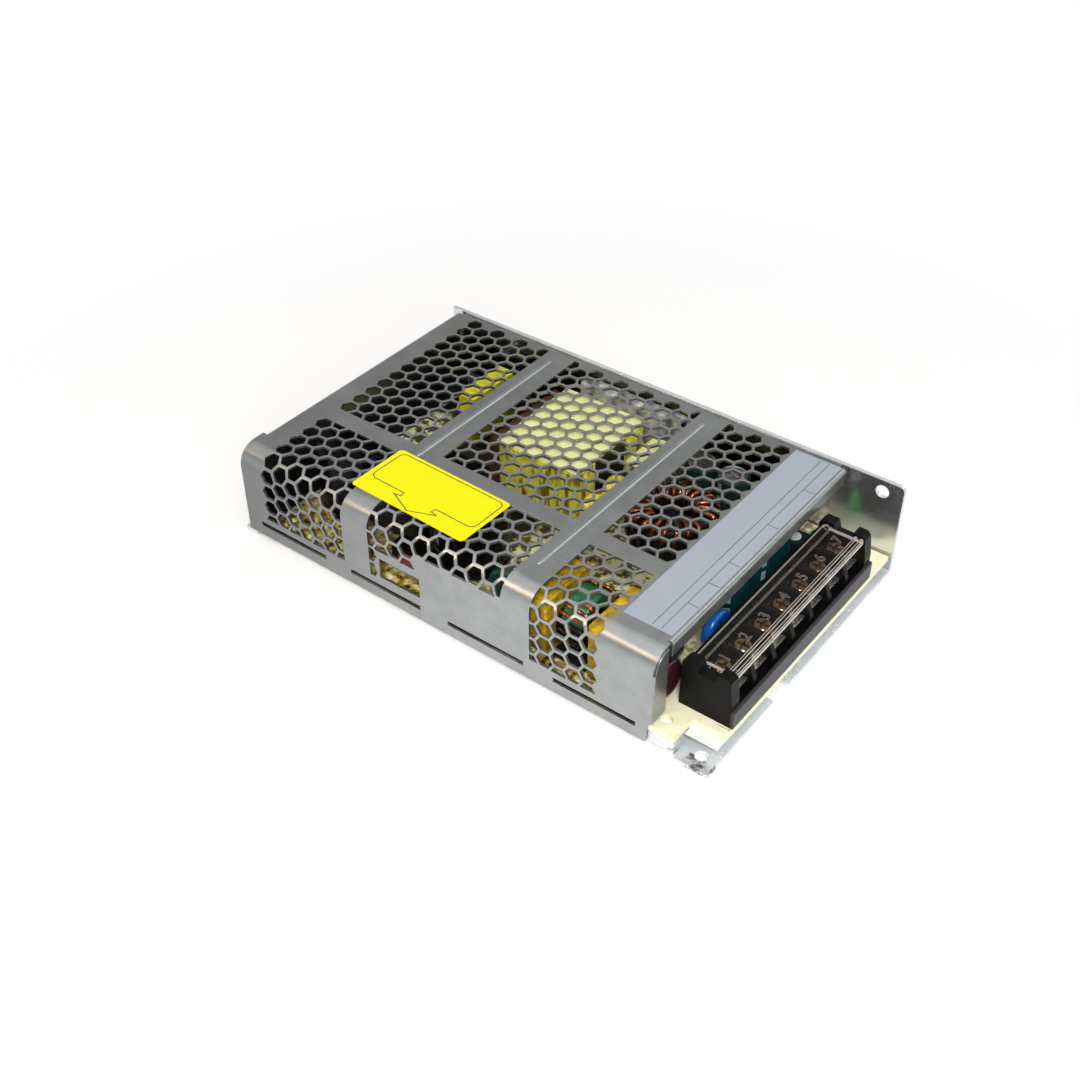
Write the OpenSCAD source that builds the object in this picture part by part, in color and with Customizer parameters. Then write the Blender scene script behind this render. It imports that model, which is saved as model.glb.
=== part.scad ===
// Slim enclosed switching power supply, 159 x 97 x 30 mm class.
// One folded chassis carries the circuit board; one folded and perforated cover closes the top,
// the near side and the rear. The terminal block stands in the open front end.
// Lengths are in millimetres. The origin is at the middle of the underside, +X points to the
// terminals, +Y to the tall chassis wall, +Z up.

/* [Case] */
// Length over the base plate
case_l = 159; // [157:0.5:170]
// Width over both long sides
case_w = 97; // [96:0.5:105]
// Height over the tall wall
case_h = 30; // [29.5:0.5:36]
// Sheet thickness of the chassis
chassis_t = 1.2; // [1:0.1:1.5]
// Outside radius of the chassis folds
chassis_r = 1.8; // [1.6:0.1:2.2]
// Sheet thickness of the cover
cover_t = 0.8; // [0.6:0.1:1]
// Running gap between the cover and the chassis
sheet_gap = 0.1; // [0.05:0.05:0.3]

/* [Cover] */
// Step from the top of the tall wall down to the cover
cover_drop = 0.3; // [0.3:0.1:0.6]
// Outside radius of the long fold along the near side
bend_r = 6; // [5:0.5:7]
// Outside radius of the small folds
fold_r = 1.2; // [1.1:0.1:1.6]
// Distance from the rear of the base plate to the rear flange
cover_rear = 2.6; // [2.2:0.2:3.4]
// Extra length of the unfolded strip beside the long fold
strip_extra = 0.8; // [0.4:0.2:1.2]
// Width of that strip
strip_w = 10.4; // [9:0.2:12]
// Open length in front of the cover, where the terminals are
front_open = 17; // [16.5:0.5:19]
// Height of the lip along the front edge of the top
lip_h = 4.8; // [4:0.2:5.2]
// Distance from the near side to the start of that lip
lip_y0 = 8; // [7.2:0.2:9]
// Width of the flange folded in at the front of the side wall
flange_w = 6.5; // [5:0.5:7]
// Underside of that flange above the base
flange_z0 = 7.4; // [7:0.2:9]
// Height of the lip along the tall wall
far_lip_h = 5.5; // [5:0.1:5.7]
// Width of the two stiffening beads
rib_w = 2; // [1.6:0.2:2.4]
// Height of the beads
rib_h = 0.3; // [0.2:0.05:0.3]
// Distance from the rear to the first bead
rib_x1 = 43.9; // [43:0.2:46]
// Distance from the rear to the second bead
rib_x2 = 98.8; // [98:0.2:101]
// Distance from the near side to the end of the second bead
rib_y0 = 12; // [10:0.5:16]
// Distance from the tall wall to the end of the beads
rib_far = 7; // [5:0.5:9]

/* [Perforation] */
// Hexagon size across flats
hex_af = 4.5; // [3.8:0.1:4.6]
// Distance between hexagons in a column
hex_pitch = 5.25; // [5.15:0.05:5.6]
// Distance from the near side to the middle of the solid band between the two rows
band_y = 28.75; // [28:0.25:30]
// Width of that band
band_w = 5.9; // [5:0.1:7]
// Solid margin beside the tall wall
far_margin = 3; // [2.6:0.1:4]
// Length of each ventilation slot low in the side
slot_l = 25.4; // [20:0.2:28]
// Height of each slot
slot_h = 1.5; // [1.2:0.1:1.8]
// Distance between the slots
slot_pitch = 35; // [31:0.5:36]
// Distance from the rear to the first slot
slot_x0 = 7.2; // [6:0.2:10]
// Middle of the slots above the base
slot_z = 5.5; // [5.2:0.1:6]
// Width of the window in front of the voltage selector
window_w = 14.3; // [13:0.1:15]
// Height of the window
window_h = 6.6; // [6:0.1:7.2]
// Distance from the rear to the window
window_x0 = 53.5; // [53:0.1:54.5]
// Underside of the window above the base
window_z0 = 9.2; // [8.6:0.1:9.6]

/* [Chassis] */
// Gap between the front of the low near flange and the front of the base
flange_front = 10.5; // [10:0.25:12]
// Distance from the rear to the low near flange
flange_rear = 12.1; // [11:0.1:14]
// Length of the rear corner tab
tab_l = 4.6; // [4:0.1:5.5]
// Width of the tab folded in at the front of the low flange
end_tab_w = 6.4; // [5:0.2:7]
// Width of the notch in the front edge
notch_w = 8; // [6:0.5:10]
// Depth of that notch
notch_d = 6; // [4:0.5:7]
// Distance from the near side to the middle of the notch
notch_y = 35.5; // [30:0.5:40]
// Bore of the fixing holes in the front corners
corner_hole_d = 3.5; // [3:0.1:4]
// Distance from both edges to those holes
corner_hole_in = 4.6; // [4.2:0.1:5]
// Bore of the threaded fixing holes in the base
base_hole_d = 3.3; // [3:0.1:3.5]
// Distance between the threaded holes along the case
base_hole_dx = 120; // [115:1:125]
// Distance between the threaded holes across the case
base_hole_dy = 76; // [74:1:78]
// Bore of the fixing holes in the tall wall
wall_hole_d = 4; // [3.5:0.1:4.5]
// Distance from the ends of the wall to those holes
wall_hole_x = 6.3; // [6:0.1:7]
// Distance from the top of the wall to those holes
wall_hole_z = 3.7; // [3.5:0.1:5]

/* [Board] */
// Thickness of the circuit board
board_t = 1.6; // [1.2:0.2:1.8]
// Underside of the board above the base
board_z = 4.9; // [4.7:0.1:5.1]
// Gap between the rear of the case and the board
board_rear = 11; // [10:0.5:11.5]
// Gap between the board and the front of the base
board_front = 0.7; // [0.4:0.1:1.2]
// Gap between the near side and the board
board_near = 3; // [2.9:0.1:3.4]
// Gap between the board and the tall wall
board_far = 0.8; // [0.5:0.1:1.4]
// Distance from the near side to the board beside the front corner cut-out
board_step = 9.3; // [8.8:0.1:9.8]
// Diameter of the board supports
standoff_d = 5.6; // [5:0.2:6.4]
// Thread of the small screws
screw_d = 3; // [2.5:0.5:3]
// Head diameter of the small screws
screw_head_d = 5.4; // [5:0.2:5.8]
// Head height of the small screws
screw_head_h = 1.7; // [1.4:0.1:1.8]

/* [Terminals] */
// Most terminals in the row; a narrow case takes fewer
ways_most = 7; // [5:1:7]
// Least room between the block and the tall wall
block_room = 8; // [6:0.5:11]
// Distance between terminals
way_pitch = 9.5; // [9:0.1:9.5]
// Thickness of the partitions
part_t = 1.7; // [1.4:0.1:2]
// Thickness of the end walls
end_t = 3.5; // [3:0.1:3.8]
// Depth of the terminal block
block_d = 14.8; // [14.4:0.2:15.2]
// Gap between the block and the front of the base
block_front = 1.7; // [1.2:0.1:2]
// Distance from the near side to the block
block_y0 = 12; // [11.6:0.2:13]
// Height of the sill under the wire bays
sill_h = 3.2; // [2.8:0.1:3.6]
// Height of the partitions above the board
part_h = 13; // [12.6:0.1:13.4]
// Height of the end lugs above the board
lug_h = 15.3; // [15:0.1:15.6]
// Thickness of the lid
lid_t = 1; // [0.8:0.1:1.2]
// Diameter of the lid's hinge pins
pin_d = 1.6; // [1.4:0.1:1.8]
// Clearance beside sliding pieces
play = 0.3; // [0.2:0.05:0.35]
// Clearance round turning pins
turn_play = 0.1; // [0.05:0.01:0.15]
// Side of the square clamp washers
clamp_w = 6.8; // [6:0.1:7]
// Head diameter of the terminal screws
term_head_d = 6; // [5:0.1:6.4]
// Thread of the terminal screws
term_screw_d = 3.5; // [3:0.5:4]

/* [Input parts] */
// Diameter of the bulk capacitors
bulk_d = 22; // [20:0.5:22.5]
// Room between the bulk capacitors and the cover
bulk_room = 1.9; // [1:0.1:4]
// Distance from the near side to their middle
bulk_y = 25; // [24.5:0.25:26]
// Width of the bridge rectifier
bridge_w = 19; // [16:0.5:20]
// Height of the bridge rectifier
bridge_h = 16; // [13:0.5:18]
// Width of the box capacitors
xcap_w = 9.6; // [8:0.2:10]
// Length of the box capacitors
xcap_l = 19.5; // [17:0.5:20.5]
// Height of the box capacitors
xcap_h = 18; // [15:0.5:18.5]
// Outside diameter of the line choke core
choke_d = 16; // [14:0.5:16.5]
// Hole of the line choke core
choke_hole = 8.6; // [8:0.2:9]
// Width of the line choke core
choke_w = 7; // [6:0.2:7.4]
// Wire of the line choke
choke_wire = 1; // [0.8:0.1:1.1]
// Width of the yellow film capacitor
film_w = 6; // [5:0.2:7]
// Length of the yellow film capacitor
film_l = 19.8; // [17:0.2:21]
// Height of the yellow film capacitor
film_h = 17.8; // [15:0.2:18.5]
// Diameter of the disc parts
disc_d = 11; // [9:0.5:12]
// Thickness of the disc parts
disc_t = 4; // [3:0.2:4.4]
// Length of the fuse
fuse_l = 20; // [18:0.5:21]
// Diameter of the fuse
fuse_d = 5; // [4.4:0.2:5.4]
// Length of the selector body
sel_l = 16; // [15.4:0.1:16.4]
// Depth of the selector body
sel_d = 5; // [4.6:0.1:5.2]
// Height of the selector body
sel_h = 8; // [7.6:0.1:8.4]
// Distance from the near side to the selector body
sel_y = 8.2; // [8:0.1:8.4]
// Width of the selector's slider
knob_w = 6.4; // [5.6:0.1:6.4]
// Travel of the slider
knob_travel = 4; // [3.4:0.1:4]

/* [Power parts] */
// Length of the transformer along the case
trafo_l = 28.7; // [26:0.1:30]
// Width of the transformer across the case
trafo_w = 34; // [30:0.5:35]
// Room between the transformer and the cover
trafo_room = 1.9; // [1:0.1:4]
// Gap between the transformer and the output choke
trafo_gap = 10.35; // [10:0.05:11]
// Gap between the transformer and the clamp bar
trafo_far = 6.05; // [5:0.05:8]
// Outside diameter of the output choke core
ring_d = 23.6; // [22:0.2:24]
// Hole of the output choke core
ring_hole = 14; // [13.6:0.2:14.4]
// Height of the output choke core
ring_h = 10; // [8:0.2:11]
// Wire of the output choke
ring_wire = 1.4; // [1:0.1:1.5]
// Turns of the output choke
ring_turns = 22; // [14:1:22]
// Width of the small taped coil
aux_w = 6.8; // [5.6:0.2:7]
// Length of the small taped coil
aux_l = 16; // [12:0.5:17]
// Height of the small taped coil
aux_h = 15; // [12:0.5:17]
// Diameter of the dipped capacitors
dip_d = 9.6; // [8:0.2:10]
// Thickness of the dipped capacitors
dip_t = 4.4; // [3.6:0.2:5]
// Diameter of the output capacitors
out_d = 10; // [8:0.5:10.5]
// Height of the output capacitors
out_h = 16; // [12:0.5:20]
// Height of the two filter capacitors
filt_h = 12.5; // [10:0.5:14]
// Width of a power package
pack_w = 10; // [9.6:0.1:10.4]
// Thickness of a power package
pack_t = 4.4; // [4:0.1:4.6]
// Distance between the power packages
pack_pitch = 12; // [11.5:0.5:13]

/* [Hidden] */
$fn = 48;

// Small overlap that makes cutters pass through a face
eps = 0.4;

// Levels
top_z = case_h - cover_drop;
under_z = top_z - cover_t;
deck = board_z + board_t;

// Cover
cover_x1 = case_l - front_open;
cover_y1 = case_w - chassis_t - sheet_gap;
side_z0 = chassis_t + 2 * sheet_gap;
bend_z = top_z - bend_r;
neutral_r = bend_r - cover_t / 2;
bend_arc = neutral_r * PI / 2;
column = hex_pitch * sqrt(3) / 2;
hex_r = hex_af / sqrt(3);

// Chassis
wall_y = case_w - chassis_t;
flange_y = cover_t + sheet_gap;
flange_x1 = case_l - flange_front;
lug_x = cover_rear + cover_t + sheet_gap;
lug_len = 16;
lug_up = 11;
lug_y = [24, case_w - 24];
lug_screw_z = 7;
far_screw_x = [24, case_l - 31];
far_screw_z = top_z - 5.4;
far_tongue_w = 10;
far_tongue_h = 9;

// Board and what stands on it
board_x1 = case_l - board_front;
board_y1 = wall_y - board_far;

// Terminal block
block_x0 = case_l - block_front - block_d;
ways = min(ways_most,
    floor((wall_y - block_y0 - 2 * end_t + part_t - block_room) / way_pitch));
block_l = ways * way_pitch + 2 * end_t - part_t;
first_way = block_y0 + end_t - part_t / 2 + way_pitch / 2;
bay_w = way_pitch - part_t;
part_z = deck + part_h;
lug_z = deck + lug_h;
plate_z = deck + 6.6;
plate_t = 0.8;
clamp_z = plate_z + plate_t + 1;
clamp_t = 0.9;
term_x = block_x0 + 7.4;
term_head_h = 2;
pedestal_d = 8.4;
lid_x0 = block_x0 + 1.4;
lid_l = 12.2;
lid_y0 = block_y0 + end_t + play;
lid_len = block_l - 2 * end_t - 2 * play;
lid_z = part_z + 0.1;
hinge_x = lid_x0 + lid_t;
hinge_z = lid_z + lid_t / 2;
rear_lug_l = 4.4;
front_lug_l = 3.6;

// Input row: from the rear, two bulk capacitors with the rectifier between them
gap = 1;
bulk_h = under_z - deck - bulk_room;
bulk_x1 = board_rear + gap / 2 + bulk_d / 2;
bridge_x = bulk_x1 + bulk_d / 2 + gap + bridge_w / 2;
bulk_x2 = bridge_x + bridge_w / 2 + gap + bulk_d / 2;
bridge_t = 3.6;
bridge_y = bulk_y - 6;

// Input row: from the terminals, the fuse, then the filter
disc_x = block_x0 - gap - disc_t / 2 - 0.6;
fuse_x = disc_x - disc_t / 2 - gap - fuse_d / 2 - 0.8;
xcap_x2 = fuse_x - fuse_d / 2 - gap - 0.6 - xcap_w;
choke_over = choke_w + 2 * choke_wire + 0.8;
choke_x = xcap_x2 - gap - choke_over / 2 - 0.6;
xcap_x1 = choke_x - choke_over / 2 - 0.6 - gap - xcap_w;
xcap_y = 5.2;
choke_base_t = 1.2;
choke_out = choke_d / 2 + choke_wire + 0.3;
choke_y = xcap_y + choke_out + 0.4;
choke_z = deck + choke_base_t + choke_out;
ntc_x = (bulk_x2 + bulk_d / 2 + xcap_x1) / 2;

// Voltage selector behind the window
sel_x0 = window_x0 - 3;
sel_wall = 0.8;
knob_wing = 0.8;
knob_h = 4.2;
knob_z = deck + 2.4;
knob_x = window_x0 + 0.6;

// Output side
slack = 0.15;
ring_out = ring_d / 2 + ring_wire + slack;
ring_x = block_x0 - 35.9;
ring_base_t = 1.2;
ring_z = deck + ring_base_t + ring_wire + 0.3;
out_x = block_x0 - gap - 1.4 - out_d / 2;
out_pitch = out_d + 0.8;
out_y = case_w - 28.9 - 2 * out_pitch;
filt_y = board_y1 - out_d / 2 - 3.6;
ring_y = filt_y - out_d / 2 - 5.05 - ring_out;
pad_t = 0.35;
clamp_bar_t = 1;
pack_y = wall_y - pad_t - pack_t;
trafo_h = under_z - deck - trafo_room;
trafo_x0 = ring_x - ring_out - trafo_gap - trafo_l;
trafo_y0 = pack_y - clamp_bar_t - trafo_far - trafo_w;
clamp_end = 6.4;
pack_x = ring_x - out_d - 0.5 - clamp_end - pack_w - 2 * pack_pitch;
pack_z = deck + 1.6;
pack_h = top_z - far_lip_h - 0.6 - pack_z;
aux_x0 = trafo_x0 + trafo_l + 2.3;
aux_y0 = trafo_y0 + 19.5;
dip_x = trafo_x0 + trafo_l + 2 + dip_t / 2;

// Board supports
standoff_at = [
    [board_rear + 3, board_near + 3], [board_rear + 3, board_y1 - 3.6],
    [ring_x - 12.6, case_w / 2 - 6], [block_x0 - 14.5, case_w - 9]
];

// Puts the near rear corner of the base at the frame's corner
module place() translate([-case_l / 2, -case_w / 2, 0]) children();

// Profile in the y-z plane carried along x
module along_x(len) rotate([90, 0, 90]) linear_extrude(len) children();

// Profile in the x-z plane carried along y
module along_y(len) translate([0, len, 0]) rotate([90, 0, 0]) linear_extrude(len) children();

// Box from its low corner to its high corner
module block(low, high) translate(low) cube(high - low);

// Quarter of a sheet fold: the arc from turn to turn + 90 degrees, carried upwards
module fold(r, t, len, turn)
    rotate([0, 0, turn]) rotate_extrude(angle = 90) translate([r - t, 0]) square([t, len]);

// The same fold with its axis along x, angles measured from +y towards +z
module fold_x(r, t, len, turn) rotate([90, 0, 90]) fold(r, t, len, turn);

// The same fold with its axis along y, angles measured from +x towards +z
module fold_y(r, t, len, turn) translate([0, len, 0]) rotate([90, 0, 0]) fold(r, t, len, turn);

// Round bar along y, and along x
module rod_y(d, len) rotate([-90, 0, 0]) cylinder(d = d, h = len);
module rod_x(d, len) rotate([0, 90, 0]) cylinder(d = d, h = len);

// Keeps the part of a polygon on one side of the line where axis k has value v
function clip(p, k, v, s) = [
    for (i = [0 : len(p) - 1])
        let (a = p[i], b = p[(i + 1) % len(p)],
             da = s * (v - a[k]), db = s * (v - b[k]))
        each concat(da >= 0 ? [a] : [], da * db < 0 ? [a + (b - a) * da / (da - db)] : [])
];

// One hexagon about its middle, cut to the panel it belongs to.
// The first coordinate runs along the case, the second down the unrolled sheet.
function cell(c, x0, x1, s0, s1) =
    clip(clip(clip(clip([for (a = [0 : 60 : 300]) c + hex_r * [cos(a), sin(a)]],
        0, x0, -1), 0, x1, 1), 1, s0, -1), 1, s1, 1);

// Far panels are measured from the tall wall; the near ones run on round the long fold.
// The unrolled coordinate starts at the tall wall and grows towards the near side.
far_s0 = far_margin;
far_s1 = case_w - band_y - band_w / 2;
near_s0 = case_w - band_y + band_w / 2;
flat_s = case_w - bend_r;
side_s = flat_s + bend_arc;
function drop_to(z) = side_s + bend_z - z;

// Columns of one panel: place of the middle of each column
function columns(x0, x1, lead) = [for (x = x0 + lead; x < x1 + hex_r * 0.6; x = x + column) x];

// Lowest edge of the near middle panel, which steps round the window
function mid_edge(x) =
    x < window_x0 - hex_r / 2 ? drop_to(window_z0 - 1.1)
    : x < window_x0 + window_w + 0.2 ? drop_to(window_z0 + window_h + 2.5)
    : drop_to(bend_z - 0.2);

// Cuts one cell: straight down through the top, square through the side, radially in the fold
module punch(p, c) {
    rel = [for (q = p) [q[0], q[1] - c]];
    if (c <= flat_s)
        translate([0, case_w - c, top_z - cover_t - 0.6])
            linear_extrude(cover_t + 1.2) polygon([for (q = rel) [q[0], -q[1]]]);
    else if (c >= side_s)
        translate([0, -0.6, bend_z + side_s - c])
            rotate([90, 0, 0]) mirror([0, 0, 1])
                linear_extrude(cover_t + 1.2) polygon([for (q = rel) [q[0], -q[1]]]);
    else
        translate([0, bend_r, bend_z]) rotate([(c - flat_s) / neutral_r * 180 / PI, 0, 0])
            translate([0, 0, bend_r - cover_t - 1.2])
                linear_extrude(cover_t + 1.8) polygon([for (q = rel) [q[0], -q[1]]]);
}

// All cells of a panel. lead places the first column; swap moves the even columns half a pitch.
module panel(x0, x1, lead, s0, s1, swap, stepped = false) {
    cols = columns(x0, x1, lead);
    for (k = [0 : len(cols) - 1]) {
        x = cols[k];
        low = stepped ? mid_edge(x) : s1;
        shift = (k + swap) % 2 == 0 ? 0 : hex_pitch / 2;
        right = stepped && x < window_x0 + window_w + 0.2 && x > window_x0 - hex_r / 2
            ? min(x1, window_x0 + window_w) : x1;
        for (j = [0 : floor((low - far_s0) / hex_pitch) + 1]) {
            c = far_s0 + hex_af / 2 + shift + j * hex_pitch;
            inside = c + hex_af / 2 > s0 + 0.8 && c - hex_af / 2 < low - 0.8;
            if (inside) punch(cell([x, c], x0, stepped ? right : x1, s0, low), c);
        }
    }
}

// Panel edges along the case: rear, middle, front
rear_x0 = 9.6;
rear_x1 = rib_x1 - 3.7;
mid_x0 = rib_x1 + 5.9;
mid_x1 = rib_x2 - 3.4;
front_x0 = rib_x2 + 5.8;
label_w = 14.4;
front_x1 = cover_x1 - fold_r - label_w - 0.7;

module perforation() {
    panel(rear_x0, rear_x1, 2.6, far_s0, far_s1, 0);
    panel(mid_x0, mid_x1, 0.35, far_s0, far_s1, 0);
    panel(front_x0, front_x1, 0.3, far_s0, far_s1, 0);
    panel(rear_x0, rear_x1, 2.6, near_s0, drop_to(8.2), 0);
    panel(mid_x0, mid_x1, 0.35, near_s0, drop_to(bend_z), 1, true);
    panel(front_x0, front_x1, 0.3, near_s0, drop_to(8.2), 0);
}

// Half-round bead pressed up from the sheet, with its hollow underneath
module bead_solid(x, y0, y1, z) {
    r = rib_w / 2;
    translate([x, y0, z]) rod_y(rib_w, y1 - y0);
    for (y = [y0, y1]) translate([x, y, z]) sphere(r);
}

sticker_w = 40;
sticker_h = 20.2;
sticker_at = [58.3, 16.8];
sticker_turn = -1.6;

module cover() color("#8f9396") difference() {
    bead_z = top_z + rib_h - rib_w / 2;
    y1 = wall_y - rib_far;
    union() {
        difference() {
            cover_sheet();
            for (v = [[rib_x1, sticker_at[1] + sticker_h / 2 + 1.6], [rib_x2, rib_y0]])
                bead_solid(v[0], v[1], y1, bead_z - cover_t);
        }
        intersection() {
            for (v = [[rib_x1, sticker_at[1] + sticker_h / 2 + 1.6], [rib_x2, rib_y0]])
                bead_solid(v[0], v[1], y1, bead_z);
            block([0, 0, top_z - cover_t / 2], [case_l, case_w, case_h]);
        }
    }
    perforation();
    for (k = [0 : floor((cover_x1 - slot_x0 - slot_l - cover_t) / slot_pitch)])
        block([slot_x0 + k * slot_pitch, -eps, slot_z - slot_h / 2],
              [slot_x0 + k * slot_pitch + slot_l, cover_t + eps, slot_z + slot_h / 2]);
    block([window_x0, -eps, window_z0], [window_x0 + window_w, cover_t + eps, window_z0 + window_h]);
    for (y = lug_y)
        translate([cover_rear - eps, y, lug_screw_z]) rod_x(screw_d + 0.4, cover_t + 2 * eps);
    for (x = far_screw_x)
        translate([x, cover_y1 - cover_t - eps, far_screw_z]) rod_y(screw_d, cover_t + 2 * eps);
}

module cover_sheet() {
    x0 = cover_rear;
    x1 = cover_x1;
    r = fold_r;
    t = cover_t;
    y1 = cover_y1;
    back = x0 - strip_extra;
    // Flat top with its unfolded strip along the near side
    block([x0 + r, bend_r, top_z - t], [x1 - r, y1 - r, top_z]);
    block([back, bend_r, top_z - t], [x1 - 0.3, lip_y0 - 0.6, top_z]);
    block([back, bend_r, top_z - t], [x0 + r + 1, strip_w - 0.6, top_z]);
    // Long fold and side wall
    translate([back, bend_r, bend_z]) fold_x(bend_r, t, x1 - 0.3 - back, 90);
    block([back, 0, side_z0], [x1 - r, t, bend_z]);
    // Flange folded in at the front of the side wall, its top following the long fold
    translate([x1 - r, r, flange_z0]) fold(r, t, bend_z - flange_z0, -90);
    translate([x1 - t, 0, 0]) along_x(t) {
        translate([r, flange_z0]) square([flange_w - r, bend_z - flange_z0]);
        intersection() {
            translate([bend_r, bend_z]) circle(bend_r - t - play);
            translate([r, bend_z]) square([flange_w - r, bend_r]);
        }
    }
    // Front lip
    translate([x1 - r, lip_y0, top_z - r]) fold_y(r, t, y1 - r - lip_y0, 0);
    block([x1 - t, lip_y0, top_z - lip_h], [x1, y1 - r, top_z - r]);
    // Rear flange
    translate([x0 + r, strip_w, top_z - r]) fold_y(r, t, y1 - r - strip_w, 90);
    block([x0, strip_w, side_z0], [x0 + t, y1 - r, top_z - r]);
    block([x0, t + 2 * sheet_gap, side_z0], [x0 + t, strip_w + 1, bend_z - 0.4]);
    // Lip along the tall wall
    translate([x0 + r + 1, y1 - r, top_z - r]) fold_x(r, t, x1 - x0 - 2 * r - 2, 0);
    block([x0 + r + 1, y1 - t, top_z - far_lip_h], [x1 - r - 1, y1, top_z - r]);
    for (x = far_screw_x)
        block([x - far_tongue_w / 2, y1 - t, top_z - far_tongue_h],
              [x + far_tongue_w / 2, y1, top_z - far_lip_h + 0.5]);
}

// Rounded rectangle about the origin
module round_rect(w, h, r) {
    square([w, h - 2 * r], center = true);
    square([w - 2 * r, h], center = true);
    for (sx = [-1, 1], sy = [-1, 1]) translate([sx * (w / 2 - r), sy * (h / 2 - r)]) circle(r);
}

label_t = 0.12;

module front_label() color("#b9bccb")
    block([cover_x1 - fold_r - label_w, lip_y0 + 1.6, top_z],
          [cover_x1 - fold_r - 0.2, cover_y1 - fold_r - 0.3, top_z + label_t]);

module selector_sticker() color("#f4e312")
    translate([sticker_at[0], sticker_at[1], top_z]) rotate([0, 0, sticker_turn])
        linear_extrude(label_t) round_rect(sticker_w, sticker_h, 1.2);

module chassis() color("#b4b8ba") difference() {
    chassis_sheet();
    // Notch in the front edge with round inner corners
    translate([case_l - notch_d, notch_y, -eps]) linear_extrude(chassis_t + 2 * eps) {
        translate([0, -notch_w / 2 + 2]) square([notch_d + eps, notch_w - 4]);
        translate([2, -notch_w / 2]) square([notch_d - 2 + eps, notch_w]);
        for (s = [-1, 1]) translate([2, s * (notch_w / 2 - 2)]) circle(2);
    }
    // Rear corner tab: the edge is cut back between it and the low flange
    block([tab_l, -eps, -eps], [flange_rear, 3.4, chassis_r + eps]);
    // Relief in front of the low flange
    block([flange_x1, -eps, -eps], [flange_x1 + 0.8, 3.4, chassis_r + eps]);
    // Fixing holes
    for (y = [corner_hole_in, case_w - corner_hole_in])
        translate([case_l - corner_hole_in, y, -eps]) cylinder(d = corner_hole_d, h = 4);
    for (sx = [-1, 1], sy = [-1, 1])
        translate([case_l / 2 + sx * base_hole_dx / 2, case_w / 2 + sy * base_hole_dy / 2, -eps])
            cylinder(d = base_hole_d, h = 4);
    for (x = [wall_hole_x, case_l - wall_hole_x])
        translate([x, wall_y - eps, case_h - wall_hole_z]) rod_y(wall_hole_d, chassis_t + 2 * eps);
    // Holes for the cover screws, countersunk from outside
    for (x = far_screw_x) translate([x, wall_y - eps, far_screw_z]) {
        rod_y(screw_d + 0.4, chassis_t + 2 * eps);
        translate([0, eps, 0]) rotate([-90, 0, 0])
            cylinder(d1 = screw_d + 0.4, d2 = screw_d + 0.4 + 2 * chassis_t, h = chassis_t);
    }
    for (x = clamp_screw_x) translate([x, wall_y - eps, clamp_screw_z])
        rod_y(screw_d + 0.2, chassis_t + 2 * eps);
    for (y = lug_y) {
        translate([lug_x - eps, y, lug_screw_z]) rod_x(screw_d - 0.5, chassis_t + 2 * eps);
        // Window left where the lug was folded up
        block([lug_x + chassis_r + 0.4, y - lug_len / 2 + 0.4, -eps],
              [lug_x + lug_up + 1, y + lug_len / 2 - 0.4, chassis_t + eps]);
    }
    for (p = standoff_at) translate([p[0], p[1], -eps]) cylinder(d = 2.6, h = chassis_t + 2 * eps);
    // Rounded front top corner of the tall wall
    translate([case_l - 1.6, wall_y - eps, case_h - 1.6]) along_y(chassis_t + 2 * eps)
        difference() {
            square(2);
            circle(1.6);
        }
}

module chassis_sheet() {
    t = chassis_t;
    r = chassis_r;
    low = flange_y + r;
    // Base plate, its tips reaching the near side
    block([0, low, 0], [case_l, case_w - r, t]);
    block([0, 0, 0], [tab_l, low, t]);
    block([flange_x1 + 0.8, 0, 0], [case_l, low, t]);
    // Tall wall on the far side
    translate([0, case_w - r, r]) fold_x(r, t, case_l, 270);
    block([0, wall_y, r], [case_l, case_w, case_h]);
    // Low flange on the near side, and the tab folded in at its front
    translate([flange_rear, low, r]) fold_x(r, t, flange_x1 - flange_rear, 180);
    block([flange_rear, flange_y, r], [flange_x1 - r, flange_y + t, board_z]);
    translate([flange_x1 - r, flange_y + r, r + 0.4]) fold(r, t, board_z - r - 0.4, -90);
    block([flange_x1 - t, flange_y + r, r + 0.4], [flange_x1, flange_y + end_tab_w, board_z]);
    block([flange_x1 - r, flange_y, r], [flange_x1 - r + 0.01, flange_y + t, r + 0.4]);
    // Collars of the threaded holes
    for (sx = [-1, 1], sy = [-1, 1])
        translate([case_l / 2 + sx * base_hole_dx / 2, case_w / 2 + sy * base_hole_dy / 2, 0])
            cylinder(d = base_hole_d + 2, h = t + 1.2);
    // Lugs folded up behind the rear flange
    for (y = lug_y) {
        translate([lug_x + r, y - lug_len / 2, r]) fold_y(r, t, lug_len, 180);
        block([lug_x, y - lug_len / 2, r], [lug_x + t, y + lug_len / 2, lug_up]);
        block([lug_x + r, y - lug_len / 2, 0], [lug_x + r + 1, y + lug_len / 2, t]);
    }
}

module board_outline() polygon([
    [board_rear, board_near], [cover_x1 - 2, board_near], [cover_x1 - 2, flange_y + 0.3],
    [flange_x1, flange_y + 0.3], [flange_x1, board_step], [board_x1, board_step],
    [board_x1, board_y1], [board_rear, board_y1]
]);

spare_holes = [[cover_x1 + 1.4, 5.1], [case_l - 7.5, case_w - 7.4]];

module circuit_board() color("#e6dda6") difference() {
    translate([0, 0, board_z]) linear_extrude(board_t) board_outline();
    for (p = concat(standoff_at, spare_holes))
        translate([p[0], p[1], board_z - eps]) cylinder(d = screw_d + 0.4, h = board_t + 2 * eps);
}

film_t = 0.25;
film_y0 = flange_y + chassis_t + 0.6;
film_y1 = board_y1 - 0.4;
// Corners left free round the rear supports
sheet_notch = standoff_d + 1.6;

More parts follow.
